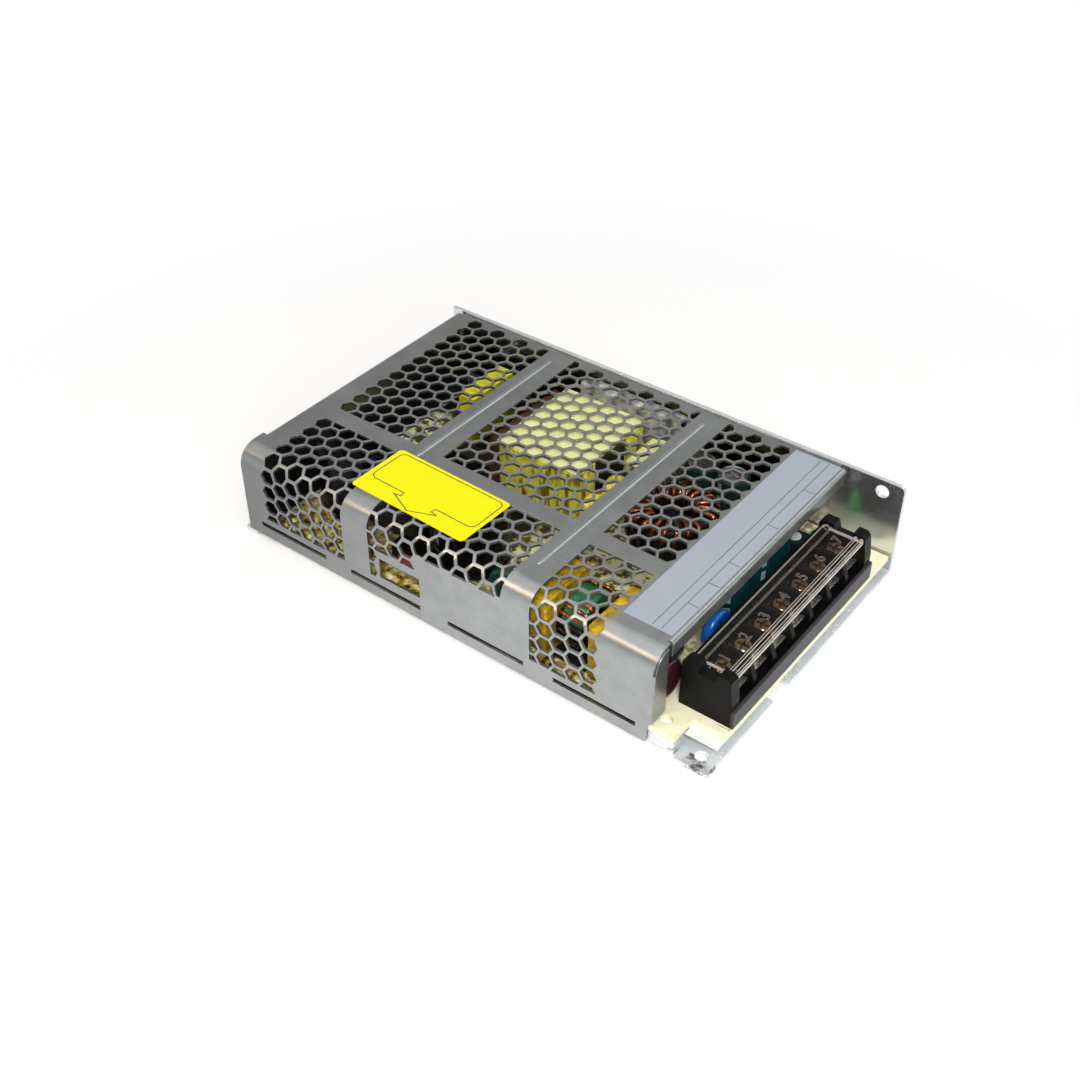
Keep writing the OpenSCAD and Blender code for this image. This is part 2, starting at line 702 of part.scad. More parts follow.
module insulating_sheet() color("#e9e9e4") difference() {
    translate([0, 0, board_z - film_t]) linear_extrude(film_t) polygon([
        [board_rear, film_y0 + sheet_notch], [board_rear + sheet_notch, film_y0 + sheet_notch],
        [board_rear + sheet_notch, film_y0],
        [flange_x1 - chassis_t - 0.4, film_y0],
        [flange_x1 - chassis_t - 0.4, flange_y + end_tab_w + 0.4],
        [flange_x1 + 0.3, flange_y + end_tab_w + 0.4],
        [flange_x1 + 0.3, 5.4], [board_x1 - 0.2, 5.4],
        [board_x1 - 0.2, film_y1],
        [board_rear + sheet_notch, film_y1], [board_rear + sheet_notch, film_y1 - sheet_notch],
        [board_rear, film_y1 - sheet_notch]
    ]);
    for (p = standoff_at)
        translate([p[0], p[1], board_z - 1]) cylinder(d = standoff_d + 0.8, h = 2);
}

// Dark film that stands along the low flange and across the rear
module side_insulator() color("#17181a") {
    x0 = lug_x + chassis_t + 0.4;
    y0 = flange_y + chassis_t + 0.15;
    z0 = chassis_r + 0.1;
    block([x0, y0, z0], [cover_x1 - 2.4, y0 + film_t, board_z - film_t - 0.05]);
    block([x0, y0, z0], [board_rear - 0.3, y0 + film_t, 12]);
    block([x0, y0, z0], [x0 + film_t, wall_y - 0.6, 17]);
}

module board_standoffs() color("#c9c9c4") for (p = standoff_at) difference() {
    translate([p[0], p[1], 0]) union() {
        cylinder(d = 2.5, h = chassis_t);
        translate([0, 0, chassis_t]) cylinder(d = standoff_d, h = board_z - chassis_t);
    }
    translate([p[0], p[1], chassis_t]) cylinder(d = screw_d - 0.4, h = board_z);
}

// Pan head with a cross recess, pointing up; the shank hangs below the origin
module pan_screw(d, head_d, head_h, shank) difference() {
    union() {
        translate([0, 0, -shank]) cylinder(d = d, h = shank + head_h / 2);
        cylinder(d = head_d, h = head_h * 0.6);
        translate([0, 0, head_h * 0.6]) cylinder(d1 = head_d, d2 = head_d * 0.72, h = head_h * 0.4);
    }
    for (a = [0, 90]) rotate([0, 0, a])
        translate([-head_d * 0.3, -head_d * 0.06, head_h * 0.4]) cube([head_d * 0.6, head_d * 0.12, head_h]);
}

module board_screws() color("#cfcfcf") for (p = standoff_at)
    translate([p[0], p[1], deck]) pan_screw(screw_d - 0.5, screw_head_d, screw_head_h, board_t + 2.6);

// Flat heads, flush with the outside of the tall wall
module cover_side_screws() color("#cfcfcf") for (x = far_screw_x)
    translate([x, case_w, far_screw_z]) rotate([-90, 0, 0]) difference() {
        union() {
            translate([0, 0, -4.6]) cylinder(d = screw_d - 0.1, h = 4.6 - 0.1);
            translate([0, 0, -1.1]) cylinder(d1 = screw_d + 0.2, d2 = screw_d + 2.2, h = 1);
        }
        for (a = [0, 90]) rotate([0, 0, a]) translate([-1.5, -0.35, -0.8]) cube([3, 0.7, 1]);
    }

module cover_rear_screws() color("#cfcfcf") for (y = lug_y)
    translate([cover_rear, y, lug_screw_z]) rotate([0, -90, 0])
        pan_screw(screw_d - 0.6, screw_head_d, screw_head_h, cover_t + sheet_gap + chassis_t + 0.2);

// Partition between two wire bays, in the x-z plane from the rear of the block
module partition_profile() polygon([
    [0, 0], [block_d, 0], [block_d, sill_h], [block_d - 0.6, sill_h + 0.4],
    [block_d - 0.6, part_h * 0.55], [block_d - 2.6, part_h - 0.6], [block_d - 3.4, part_h],
    [hinge_x - block_x0 + 1.4, part_h], [hinge_x - block_x0 + 1.4, part_h - 0.9], [0, part_h - 0.9]
]);

// End wall: the same with its two lugs
module end_profile() polygon([
    [0, 0], [block_d, 0], [block_d, part_h * 0.62], [block_d - 0.9, lug_h - 1],
    [block_d - 1.9, lug_h], [block_d - 1.9 - front_lug_l + 1, lug_h],
    [block_d - 1.9 - front_lug_l, part_h - 0.4], [rear_lug_l + 0.8, part_h - 0.4],
    [rear_lug_l, lug_h], [1, lug_h], [0, lug_h - 1.2]
]);

module terminal_body() color("#1b1b1d") difference() {
    translate([block_x0, block_y0, deck]) {
        // Floor with its sill, and the rear wall
        cube([block_d, block_l, sill_h]);
        cube([1.6, block_l, part_h - 0.4]);
        // Pedestals under the terminal plates
        translate([term_x - block_x0 - pedestal_d / 2, 0, 0])
            cube([pedestal_d, block_l, plate_z - deck]);
        for (k = [1 : ways - 1])
            translate([0, first_way - block_y0 - way_pitch / 2 - part_t / 2 + k * way_pitch, 0])
                along_y(part_t) partition_profile();
        for (y = [0, block_l - end_t]) translate([0, y, 0]) along_y(end_t) end_profile();
    }
    for (k = [0 : ways - 1]) translate([term_x, first_way + k * way_pitch, plate_z - 4])
        cylinder(d = term_screw_d + 0.6, h = 5);
    // Sockets for the lid's pins
    for (y = [block_y0 + end_t - 1.6, block_y0 + block_l - end_t - eps])
        translate([hinge_x, y, hinge_z]) rod_y(pin_d + 2 * turn_play, 1.6 + eps);
}

module terminal_plates() color("#c8c8c2") for (k = [0 : ways - 1]) {
    y = first_way + k * way_pitch;
    w = bay_w - 0.6;
    difference() {
        block([term_x - pedestal_d / 2 - 0.9, y - w / 2, plate_z], [term_x + 5.2, y + w / 2, plate_z + plate_t]);
        translate([term_x, y, plate_z - eps]) cylinder(d = term_screw_d + 0.6, h = plate_t + 2 * eps);
    }
    block([term_x - pedestal_d / 2 - 0.9, y - 1.5, deck + sill_h],
          [term_x - pedestal_d / 2 - 0.1, y + 1.5, plate_z]);
}

module terminal_clamps() color("#d4cfc4") for (k = [0 : ways - 1])
    translate([term_x, first_way + k * way_pitch, clamp_z]) difference() {
        translate([-clamp_w / 2, -clamp_w / 2, 0]) cube([clamp_w, clamp_w, clamp_t]);
        translate([0, 0, -eps]) cylinder(d = term_screw_d + 0.6, h = clamp_t + 2 * eps);
    }

module terminal_screws() color("#b59a78") for (k = [0 : ways - 1])
    translate([term_x, first_way + k * way_pitch, clamp_z + clamp_t])
        pan_screw(term_screw_d, term_head_d, term_head_h, clamp_z + clamp_t - plate_z + 3.2);

module terminal_lid() color("#a89a86", 0.45) {
    z1 = lid_z + lid_t;
    block([lid_x0, lid_y0, lid_z], [lid_x0 + lid_l, lid_y0 + lid_len, z1]);
    // Double rib near the front edge and a fine one near the hinge
    for (x = [lid_x0 + lid_l - 2.6, lid_x0 + lid_l - 0.9])
        block([x, lid_y0, z1], [x + 0.7, lid_y0 + lid_len, z1 + 0.6]);
    block([lid_x0 + 2.4, lid_y0, z1], [lid_x0 + 2.8, lid_y0 + lid_len, z1 + 0.25]);
    // Pins
    for (y = [lid_y0 - 1.4, lid_y0 + lid_len])
        translate([hinge_x, y, hinge_z]) rod_y(min(pin_d, 2 * lid_t), 1.4);
}

module fuse() color("#6d1a22")
    translate([fuse_x, xcap_y, deck + fuse_d / 2 + 2.2]) {
        rod_y(fuse_d, 4.6);
        translate([0, 4.6, 0]) rod_y(fuse_d - 0.5, fuse_l - 9.2);
        translate([0, fuse_l - 4.6, 0]) rod_y(fuse_d, 4.6);
    }

module fuse_clips() color("#d2c08a") for (y = [xcap_y + 1, xcap_y + fuse_l - 4]) {
    z = deck + fuse_d / 2 + 2.2;
    difference() {
        translate([fuse_x, y, z]) rod_y(fuse_d + 1.6, 3);
        translate([fuse_x, y - eps, z]) rod_y(fuse_d + 0.4, 3 + 2 * eps);
        block([fuse_x - fuse_d / 3, y - eps, z], [fuse_x + fuse_d / 3, y + 3 + eps, z + fuse_d]);
    }
    difference() {
        block([fuse_x - 1.6, y, deck], [fuse_x + 1.6, y + 3, z - fuse_d / 2 + 0.2]);
        translate([fuse_x, y - eps, z]) rod_y(fuse_d + 0.8, 3 + 2 * eps);
    }
}

// Coated disc standing on two leads, flat faces along x
module disc_part(d, t, foot = 2) {
    edge = t * 0.35;
    z = d / 2 + foot;
    translate([-t / 2, 0, z]) rotate([0, 90, 0]) rotate_extrude() {
        square([d / 2 - edge, t]);
        translate([0, edge]) square([d / 2, t - 2 * edge]);
        for (v = [edge, t - edge]) translate([d / 2 - edge, v]) circle(edge);
    }
    for (s = [-1, 1]) translate([0, s * d * 0.27, 0]) cylinder(d = 0.8, h = z);
}

module varistor() color("#7b2230") translate([disc_x, xcap_y + disc_d / 2, deck]) disc_part(disc_d, disc_t);

module thermistor() color("#123f3a") translate([ntc_x, xcap_y + disc_d / 2 + 3.4, deck])
    rotate([0, 0, 90]) disc_part(disc_d, disc_t);

module y_capacitor_input() color("#2f6fd0")
    translate([disc_x + 0.4, out_y - out_d / 2 - 2.5 - disc_d / 2, deck]) disc_part(disc_d, disc_t - 1);

module y_capacitor_output() color("#2f6fd0")
    translate([aux_x0 + 2.4, trafo_y0 - 7, deck]) rotate([0, 0, 90]) disc_part(disc_d * 0.8, disc_t - 1);

// Moulded box capacitor with a small foot gap and softened edges
module box_part(w, l, h) {
    c = 0.7;
    translate([c, c, 0]) cube([w - 2 * c, l - 2 * c, h]);
    translate([0, c, 0.6]) cube([w, l - 2 * c, h - 0.6 - c]);
    translate([c, 0, 0.6]) cube([w - 2 * c, l, h - 0.6 - c]);
    for (x = [c, w - c], y = [c, l - c]) translate([x, y, 0.6]) cylinder(r = c, h = h - 0.6 - c);
}

module x_capacitor_rear() color("#f0a81c") translate([xcap_x1, xcap_y, deck]) box_part(xcap_w, xcap_l, xcap_h);

module x_capacitor_front() color("#f0a81c") translate([xcap_x2, xcap_y, deck]) box_part(xcap_w, xcap_l, xcap_h);

module film_capacitor() color("#f2cf1f")
    translate([board_rear + 16, trafo_y0 + 15.4, deck]) box_part(film_w, film_l, film_h);

// Ring with softened edges about the z axis
module ring(d, hole, h, soft) rotate_extrude() {
    translate([hole / 2, soft]) square([(d - hole) / 2, h - 2 * soft]);
    translate([hole / 2 + soft, 0]) square([(d - hole) / 2 - 2 * soft, h]);
    for (x = [hole / 2 + soft, d / 2 - soft], y = [soft, h - soft]) translate([x, y]) circle(soft);
}

// One turn of square wire round the section of a ring, at angle a about its axis
module turn_of_wire(d, hole, h, wire, slack, a) rotate([0, 0, a])
    translate([hole / 2 - wire - slack, wire / 2, -wire - slack]) rotate([90, 0, 0])
        linear_extrude(wire) difference() {
            w = (d - hole) / 2 + 2 * (wire + slack);
            v = h + 2 * (wire + slack);
            translate([w / 2, v / 2]) round_rect(w, v, wire);
            translate([wire, wire]) square([w - 2 * wire, v - 2 * wire]);
        }

module line_choke_core() color("#1f6b3c") translate([choke_x - choke_w / 2, choke_y, choke_z])
    rotate([0, 90, 0]) ring(choke_d, choke_hole, choke_w, 0.8);

// Two coils on opposite halves, leaving the core bare at the top and the bottom
module line_choke_windings() color("#b4532a") translate([choke_x - choke_w / 2, choke_y, choke_z])
    rotate([0, 90, 0]) for (side = [90, 270], k = [-3 : 3])
        turn_of_wire(choke_d, choke_hole, choke_w, choke_wire, slack, side + k * 19.5);

module line_choke_base() color("#202022") {
    // Saddle under the bare bottom of the core
    block([choke_x - choke_w / 2, choke_y - 2.2, deck + choke_base_t - 0.1],
          [choke_x + choke_w / 2, choke_y + 2.2, choke_z - choke_d / 2 - 0.25]);
    block([choke_x - choke_over / 2 - 0.4, choke_y - choke_d / 2 - 0.6, deck],
          [choke_x + choke_over / 2 + 0.4, choke_y + choke_d / 2 + 0.6, deck + choke_base_t]);
}

module bridge_rectifier() color("#1c1c1e") {
    y0 = bridge_y - bridge_t / 2;
    foot = 2.4;
    difference() {
        block([bridge_x - bridge_w / 2, y0, deck + foot],
              [bridge_x + bridge_w / 2, y0 + bridge_t, deck + foot + bridge_h]);
        translate([bridge_x, y0 - eps, deck + foot + bridge_h - 4.5]) rod_y(3.2, bridge_t + 2 * eps);
        translate([bridge_x + bridge_w / 2, y0 - eps, deck + foot + bridge_h]) rotate([0, 45, 0])
            cube([3, bridge_t + 2 * eps, 3], center = false);
    }
    for (k = [-1.5 : 1]) translate([bridge_x + k * bridge_w * 0.26, bridge_y, deck])
        translate([-0.6, -0.4, 0]) cube([1.2, 0.8, foot + 0.2]);
}

// Sleeved can: rolled groove above the foot and a soft shoulder at the top
module can_part(d, h) {
    r = d / 2;
    soft = 0.7;
    groove = d * 0.035;
    rotate_extrude() {
        square([r, 1.6]);
        translate([0, 1.6]) square([r - groove, 1]);
        translate([0, 2.6]) square([r, h - 2.6 - soft]);
        translate([0, h - soft]) square([r - soft, soft]);
        translate([r - soft, h - soft]) circle(soft);
    }
}

module bulk_capacitor_rear() color("#241f2e") translate([bulk_x1, bulk_y, deck]) can_part(bulk_d, bulk_h);

module bulk_capacitor_front() color("#241f2e") translate([bulk_x2, bulk_y, deck]) can_part(bulk_d, bulk_h);

module filter_capacitor_rear() color("#2c3a3c")
    translate([ring_x - out_d / 2 - 0.2, filt_y, deck]) can_part(out_d, filt_h);

module filter_capacitor_front() color("#2c3a3c")
    translate([ring_x + out_d / 2 + 0.2, filt_y, deck]) can_part(out_d, filt_h);

module output_capacitor(k) color("#12302f")
    translate([out_x, out_y + k * out_pitch, deck]) can_part(out_d, out_h);

module output_capacitor_1() output_capacitor(0);

module output_capacitor_2() output_capacitor(1);

module output_capacitor_3() output_capacitor(2);

// Slide switch lying behind the window: open front, the slider's plate runs inside
module selector_body() color("#26262a") difference() {
    block([sel_x0, sel_y, deck], [sel_x0 + sel_l, sel_y + sel_d, deck + sel_h]);
    block([sel_x0 + sel_wall, sel_y + sel_wall, knob_z - 1 - play],
          [sel_x0 + sel_l - sel_wall, sel_y + sel_d - sel_wall, knob_z + knob_h + 1 + play]);
    block([knob_x - play, sel_y - eps, knob_z - play],
          [knob_x + knob_w + knob_travel + play, sel_y + sel_wall + eps, knob_z + knob_h + play]);
}

module selector_slider() color("#b3122c") {
    block([knob_x, sel_y - 1.4, knob_z], [knob_x + knob_w, sel_y + sel_wall + play, knob_z + knob_h]);
    block([knob_x - knob_wing, sel_y + sel_wall + play, knob_z - 1],
          [knob_x + knob_w + knob_wing, sel_y + sel_d - sel_wall - play, knob_z + knob_h + 1]);
}

// Ferrite frame seen at the two ends of the transformer, with its middle leg
module transformer_core() color("#2a2a2c") translate([trafo_x0, trafo_y0, deck]) {
    y0 = trafo_w * 0.3;
    y1 = trafo_w * 0.7;
    difference() {
        block([0.4, y0, 1.6], [trafo_l - 0.4, y1, trafo_h - 0.6]);
        block([4.4, y0 - eps, 6], [trafo_l - 4.4, y1 + eps, trafo_h - 5]);
    }
    block([trafo_l / 2 - 4, y0, 5.8], [trafo_l / 2 + 4, y1, trafo_h - 4.8]);
}

module transformer_bobbin() color("#6b4420") translate([trafo_x0, trafo_y0, deck]) {
    // Feet and pin rails at both sides
    for (y = [0.6, trafo_w - 5.6]) difference() {
        block([1, y, 0], [trafo_l - 1, y + 5, 4.4]);
        block([3, y - eps, -eps], [trafo_l - 3, y + 5 + eps, 1.4]);
    }
    // Pin rail at the rear end, with a groove for each wire
    difference() {
        block([-3.6, 1.5, 0], [0, trafo_w - 1.5, trafo_h - 1.4]);
        for (y = [4.5 : 5 : trafo_w - 4.5]) block([-4, y - 0.6, 2.4], [-2.4, y + 0.6, trafo_h]);
    }
}

// Taped coil: rises on both sides of the core and closes over it
module transformer_winding() color("#d9dc5a") translate([trafo_x0, trafo_y0, deck]) {
    y0 = trafo_w * 0.3 - 0.1;
    y1 = trafo_w * 0.7 + 0.1;
    r = 2;
    for (s = [[0, y0], [y1, trafo_w]]) translate([0, 0, 4.4]) linear_extrude(trafo_h - 4.4 - 0.5)
        translate([trafo_l / 2, (s[0] + s[1]) / 2]) round_rect(trafo_l, s[1] - s[0], r);
    block([0.2, 0.2, trafo_h - 0.5], [trafo_l - 0.2, trafo_w - 0.2, trafo_h]);
}

module output_choke_core() color("#3b4b33") translate([ring_x, ring_y, ring_z])
    ring(ring_d, ring_hole, ring_h, 1);

module output_choke_winding() color("#c0622f") translate([ring_x, ring_y, ring_z])
    for (k = [0 : ring_turns - 1])
        turn_of_wire(ring_d, ring_hole, ring_h, ring_wire, slack, 8 + k * 344 / (ring_turns - 1));

module output_choke_base() color("#202022") translate([ring_x, ring_y, deck]) {
    cylinder(d = ring_d - 2, h = ring_base_t);
    cylinder(d = ring_hole - 2 * ring_wire - 1, h = ring_base_t + ring_h * 0.7);
}

// Power package standing against the tall wall, its tab on a pad
module power_package(k) color("#1d1d1f") translate([pack_x + k * pack_pitch, 0, 0]) {
    difference() {
        block([0, pack_y, pack_z], [pack_w, pack_y + pack_t, pack_z + pack_h - 6.4]);
        block([-eps, pack_y - eps, pack_z + pack_h - 7.2], [0.6, pack_y + 2, pack_z + pack_h]);
    }
    difference() {
        block([0.1, pack_y + pack_t - 1.3, pack_z + pack_h - 6.6],
              [pack_w - 0.1, pack_y + pack_t, pack_z + pack_h]);
        translate([pack_w / 2, pack_y, pack_z + pack_h - 3.2]) rod_y(3.6, pack_t + 1);
    }
    for (s = [-1 : 1]) block([pack_w / 2 + s * 2.54 - 0.4, pack_y + 1.6, deck],
                             [pack_w / 2 + s * 2.54 + 0.4, pack_y + 2.1, pack_z + 0.2]);
}

module switching_transistor() power_package(0);

module output_rectifier_1() power_package(1);

module output_rectifier_2() power_package(2);

module insulator_pads() color("#f2f2ee")
    for (k = [0 : 2]) block([pack_x + k * pack_pitch - 0.6, wall_y - pad_t, pack_z - 1],
                            [pack_x + k * pack_pitch + pack_w + 0.6, wall_y, pack_z + pack_h + 0.6]);

clamp_x0 = pack_x - clamp_end;
clamp_x1 = pack_x + 2 * pack_pitch + pack_w + clamp_end;
clamp_screw_x = [clamp_x0 + 3, clamp_x1 - 3];
clamp_screw_z = pack_z + 6.4;
clamp_top = under_z - 2.9;

// Angle bar across the packages, its ends set back to the wall
module package_clamp() color("#dcdcdc") difference() {
    y0 = pack_y - clamp_bar_t;
    z0 = clamp_screw_z - 2.8;
    z1 = clamp_screw_z + 2.8;
    union() {
        block([clamp_x0 + 5.6, y0, z0], [clamp_x1 - 5.6, y0 + clamp_bar_t, clamp_top]);
        // Top edge folded over the packages
        block([clamp_x0 + 5.6, y0 + clamp_bar_t, clamp_top - clamp_bar_t],
              [clamp_x1 - 5.6, cover_y1 - cover_t - 0.5, clamp_top]);
        for (x = [clamp_x0, clamp_x1 - 5.6]) block([x, y0, z0], [x + 5.6, wall_y, z1]);
    }
    for (x = clamp_screw_x) translate([x, y0 - eps, clamp_screw_z])
        rod_y(screw_d + 0.2, pack_t + clamp_bar_t + 2 * eps);
}

module clamp_screws() color("#cfcfcf") for (x = clamp_screw_x)
    translate([x, pack_y - clamp_bar_t, clamp_screw_z]) rotate([90, 0, 0])
        pan_screw(screw_d - 0.1, screw_head_d, screw_head_h, wall_y - pack_y + clamp_bar_t + chassis_t - 0.2);

trim_x = block_x0 - 5.6;
trim_y = case_w - 18.6;
trim_w = 6.4;
trim_h = 7.6;
rotor_d = 3.6;

module trimmer_body() color("#2d5fb0") difference() {
    block([trim_x - trim_w / 2, trim_y - trim_w / 2, deck], [trim_x + trim_w / 2, trim_y + trim_w / 2, deck + trim_h]);
    translate([trim_x, trim_y, deck + trim_h - 2]) cylinder(d = rotor_d + 2 * turn_play, h = 3);
}

module trimmer_rotor() color("#f0f0ea") difference() {
    translate([trim_x, trim_y, deck + trim_h - 2 + 0.05]) cylinder(d = rotor_d, h = 2.2);
    for (s = [[2.8, 0.6], [0.6, 2.8]])
        translate([trim_x - s[0] / 2, trim_y - s[1] / 2, deck + trim_h - 0.6]) cube([s[0], s[1], 2]);
}

module status_led() color("#2f9e3d") translate([block_x0 - 2.2, case_w - 13, deck]) {
    cylinder(d = 3.8, h = 1);
    cylinder(d = 3, h = 6);
    translate([0, 0, 6]) sphere(1.5);
}

// Dual in-line package with its legs
module chip(n) {
    w = 6.4;
    l = n * 2.54;
    translate([0, 0, 0.6]) difference() {
        translate([-l / 2, -w / 2, 0]) cube([l, w, 3.2]);
        translate([-l / 2, 0, 3.2]) sphere(0.9);
    }
    for (k = [0 : n - 1], s = [-1, 1])
        translate([-l / 2 + 1.27 + k * 2.54 - 0.5, s * (w / 2 + 0.1) - 0.15, 0]) cube([1, 0.3, 2.2]);
}

module control_chip() color("#202024") translate([trafo_x0 - 15.5, trafo_y0 + 9, deck]) chip(8);

module optocoupler() color("#ecebe4")
    translate([trafo_x0 - 9, trafo_y0 - 4, deck]) rotate([0, 0, 90]) chip(2);

// Small coil lying along a U-shaped core
module auxiliary_core() color("#2a2a2c") translate([aux_x0 + 0.8, aux_y0, deck]) {
    block([0, -1.2, 0], [aux_w - 1.6, aux_l + 1.2, 2.2]);
    for (y = [-1.2, aux_l]) block([0, y, 2.2], [aux_w - 1.6, y + 1.2, aux_h - 2]);
}

module auxiliary_coil() color("#c9cf3c") translate([aux_x0 + aux_w / 2, aux_y0 + aux_l / 2, deck + 2.2])
    linear_extrude(aux_h - 2.2) round_rect(aux_w, aux_l, 2);

module dipped_capacitors() color("#e8c81e") for (k = [0, 1])
    translate([dip_x, trafo_y0 + 2 + k * (dip_d + 1), deck]) disc_part(dip_d, dip_t, 5);

place() chassis();
place() cover();
place() front_label();
place() selector_sticker();
place() insulating_sheet();
place() side_insulator();
place() circuit_board();
place() board_standoffs();
place() board_screws();
place() cover_side_screws();
place() cover_rear_screws();
place() terminal_body();
place() terminal_lid();
place() terminal_plates();
place() terminal_clamps();
place() terminal_screws();
place() fuse_clips();
place() fuse();
place() varistor();
place() thermistor();
place() x_capacitor_rear();
place() x_capacitor_front();
place() y_capacitor_input();
place() y_capacitor_output();
place() line_choke_core();
place() line_choke_windings();
place() line_choke_base();
place() bridge_rectifier();
place() bulk_capacitor_rear();
place() bulk_capacitor_front();
place() selector_body();
place() selector_slider();
place() film_capacitor();
place() transformer_core();
place() transformer_bobbin();
place() transformer_winding();
place() output_choke_core();
place() output_choke_winding();
place() output_choke_base();
place() filter_capacitor_rear();
place() filter_capacitor_front();
place() output_capacitor_1();
place() output_capacitor_2();
place() output_capacitor_3();
place() package_clamp();
place() clamp_screws();
place() insulator_pads();
place() switching_transistor();
place() output_rectifier_1();
place() output_rectifier_2();
place() trimmer_body();
place() trimmer_rotor();
place() status_led();
place() control_chip();
place() optocoupler();
place() auxiliary_core();
place() auxiliary_coil();
place() dipped_capacitors();
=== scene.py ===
import math

import bmesh
import bpy
import numpy as np
from mathutils import Matrix, Vector


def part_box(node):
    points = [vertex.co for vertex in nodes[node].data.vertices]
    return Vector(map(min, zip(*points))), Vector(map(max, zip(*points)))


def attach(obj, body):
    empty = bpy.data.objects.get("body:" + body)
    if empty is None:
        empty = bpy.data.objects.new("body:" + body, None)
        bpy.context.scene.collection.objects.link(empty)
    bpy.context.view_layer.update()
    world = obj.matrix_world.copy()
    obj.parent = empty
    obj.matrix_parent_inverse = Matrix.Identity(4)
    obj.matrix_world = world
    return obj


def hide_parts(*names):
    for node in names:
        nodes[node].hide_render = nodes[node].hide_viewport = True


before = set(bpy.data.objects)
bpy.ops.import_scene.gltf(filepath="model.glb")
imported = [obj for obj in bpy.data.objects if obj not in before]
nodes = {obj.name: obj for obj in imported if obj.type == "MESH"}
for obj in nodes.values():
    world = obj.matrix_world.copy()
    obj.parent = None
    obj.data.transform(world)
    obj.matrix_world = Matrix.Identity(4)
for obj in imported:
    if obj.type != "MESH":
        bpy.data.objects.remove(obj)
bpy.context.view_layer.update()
mm = 0.001
print("frame loaded:", len(nodes), "parts")


def addNode(tree, kind, inputs=None, **fields):
    # One shader node; inputs maps a socket name or index to a value or to another node's socket
    node = tree.nodes.new(kind)
    for field, value in fields.items():
        setattr(node, field, value)
    for key, value in (inputs or {}).items():
        if isinstance(value, bpy.types.NodeSocket):
            tree.links.new(value, node.inputs[key])
        else:
            node.inputs[key].default_value = value
    return node


def newMaterial(name):
    # A material with one principled shader, its tree and that shader
    material = bpy.data.materials.new(name)
    material.use_nodes = True
    tree = material.node_tree
    tree.nodes.clear()
    output = tree.nodes.new("ShaderNodeOutputMaterial")
    shader = tree.nodes.new("ShaderNodeBsdfPrincipled")
    tree.links.new(shader.outputs[0], output.inputs[0])
    return material, tree, shader


def setGloss(shader, metallic=0.0, coat=0.0, coatRough=0.12, specular=0.5):
    # Values that are the same all over a surface, set on the shader itself
    shader.inputs["Metallic"].default_value = metallic
    shader.inputs["Specular IOR Level"].default_value = specular
    shader.inputs["Coat Weight"].default_value = coat
    shader.inputs["Coat Roughness"].default_value = coatRough


def plug(tree, shader, tone, roughness, relief):
    # Feeds the three sockets that vary over every surface
    for name, value in (("Base Color", tone), ("Roughness", roughness), ("Normal", relief)):
        tree.links.new(value, shader.inputs[name])


def objectCoords(tree, scale=(1, 1, 1), centre=(0, 0, 0), turn=0.0):
    # Object coordinates in millimetres, moved to a centre, turned about Z and stretched
    coords = addNode(tree, "ShaderNodeTexCoord")
    moved = addNode(tree, "ShaderNodeMapping", {0: coords.outputs["Object"],
                                                "Location": [-c for c in centre]})
    return addNode(tree, "ShaderNodeMapping", {0: moved.outputs[0], "Rotation": (0, 0, turn),
                                               "Scale": [1000 * s for s in scale]}).outputs[0]


def axes(tree, vector):
    # The three parts of a vector as sockets
    return addNode(tree, "ShaderNodeSeparateXYZ", {0: vector}).outputs


def facing(tree):
    # How far a face looks up or down in its own object: 1 on level faces, 0 on upright ones
    normal = addNode(tree, "ShaderNodeTexCoord").outputs["Normal"]
    return mathNode(tree, "ABSOLUTE", axes(tree, normal)[2])


def noise(tree, coords, size, detail=3.0, roughness=0.55, distortion=0.0):
    # Noise whose features are about size millimetres across, mostly between 0.3 and 0.7
    return addNode(tree, "ShaderNodeTexNoise", {
        "Vector": coords, "Scale": 1.0 / size, "Detail": detail, "Roughness": roughness,
        "Distortion": distortion}).outputs[0]


def mathNode(tree, operation, a, b=0.0, c=0.0):
    # a, b and c may each be a number or a socket
    return addNode(tree, "ShaderNodeMath", {0: a, 1: b, 2: c}, operation=operation).outputs[0]


def weigh(tree, parts):
    # Sum of (value, weight) pairs
    total = 0.0
    for value, weight in parts:
        total = mathNode(tree, "MULTIPLY_ADD", value, weight, total)
    return total


def ramp(tree, value, stops, ease="LINEAR"):
    # stops is a list of (position, colour)
    node = addNode(tree, "ShaderNodeValToRGB", {0: value})
    node.color_ramp.interpolation = ease
    elements = node.color_ramp.elements
    while len(elements) < len(stops):
        elements.new(0.5)
    for element, (position, colour) in zip(elements, stops):
        element.position = position
        element.color = (*colour, 1.0)
    return node.outputs[0]


def spread(tree, value, low, high, fromLow=0.3, fromHigh=0.7):
    # Carries a value between fromLow and fromHigh to the range low to high
    return addNode(tree, "ShaderNodeMapRange",
                   {0: value, 1: fromLow, 2: fromHigh, 3: low, 4: high}).outputs[0]


def towards(tree, value, start, full):
    # How far a value has gone from start to full: 0 before start, 1 past full
    return spread(tree, value, 0.0, 1.0, start, full)


def allOf(tree, *tests):
    # 1 where every test holds, else 0; a test is (operation, value, limit)
    held = mathNode(tree, *tests[0])
    for test in tests[1:]:
        held = mathNode(tree, "MULTIPLY", held, mathNode(tree, *test))
    return held


def blend(tree, factor, a, b):
    # Colour a where factor is 0 and colour b where it is 1
    node = addNode(tree, "ShaderNodeMix", data_type="RGBA")
    for index, value in ((0, factor), (6, a), (7, b)):
        if isinstance(value, bpy.types.NodeSocket):
            tree.links.new(value, node.inputs[index])
        else:
            node.inputs[index].default_value = (*value, 1.0) if index > 0 else value
    return node.outputs[2]


def darker(colour, part):
    # A colour with each of its three shares multiplied by part
    return tuple(c * part for c in colour)


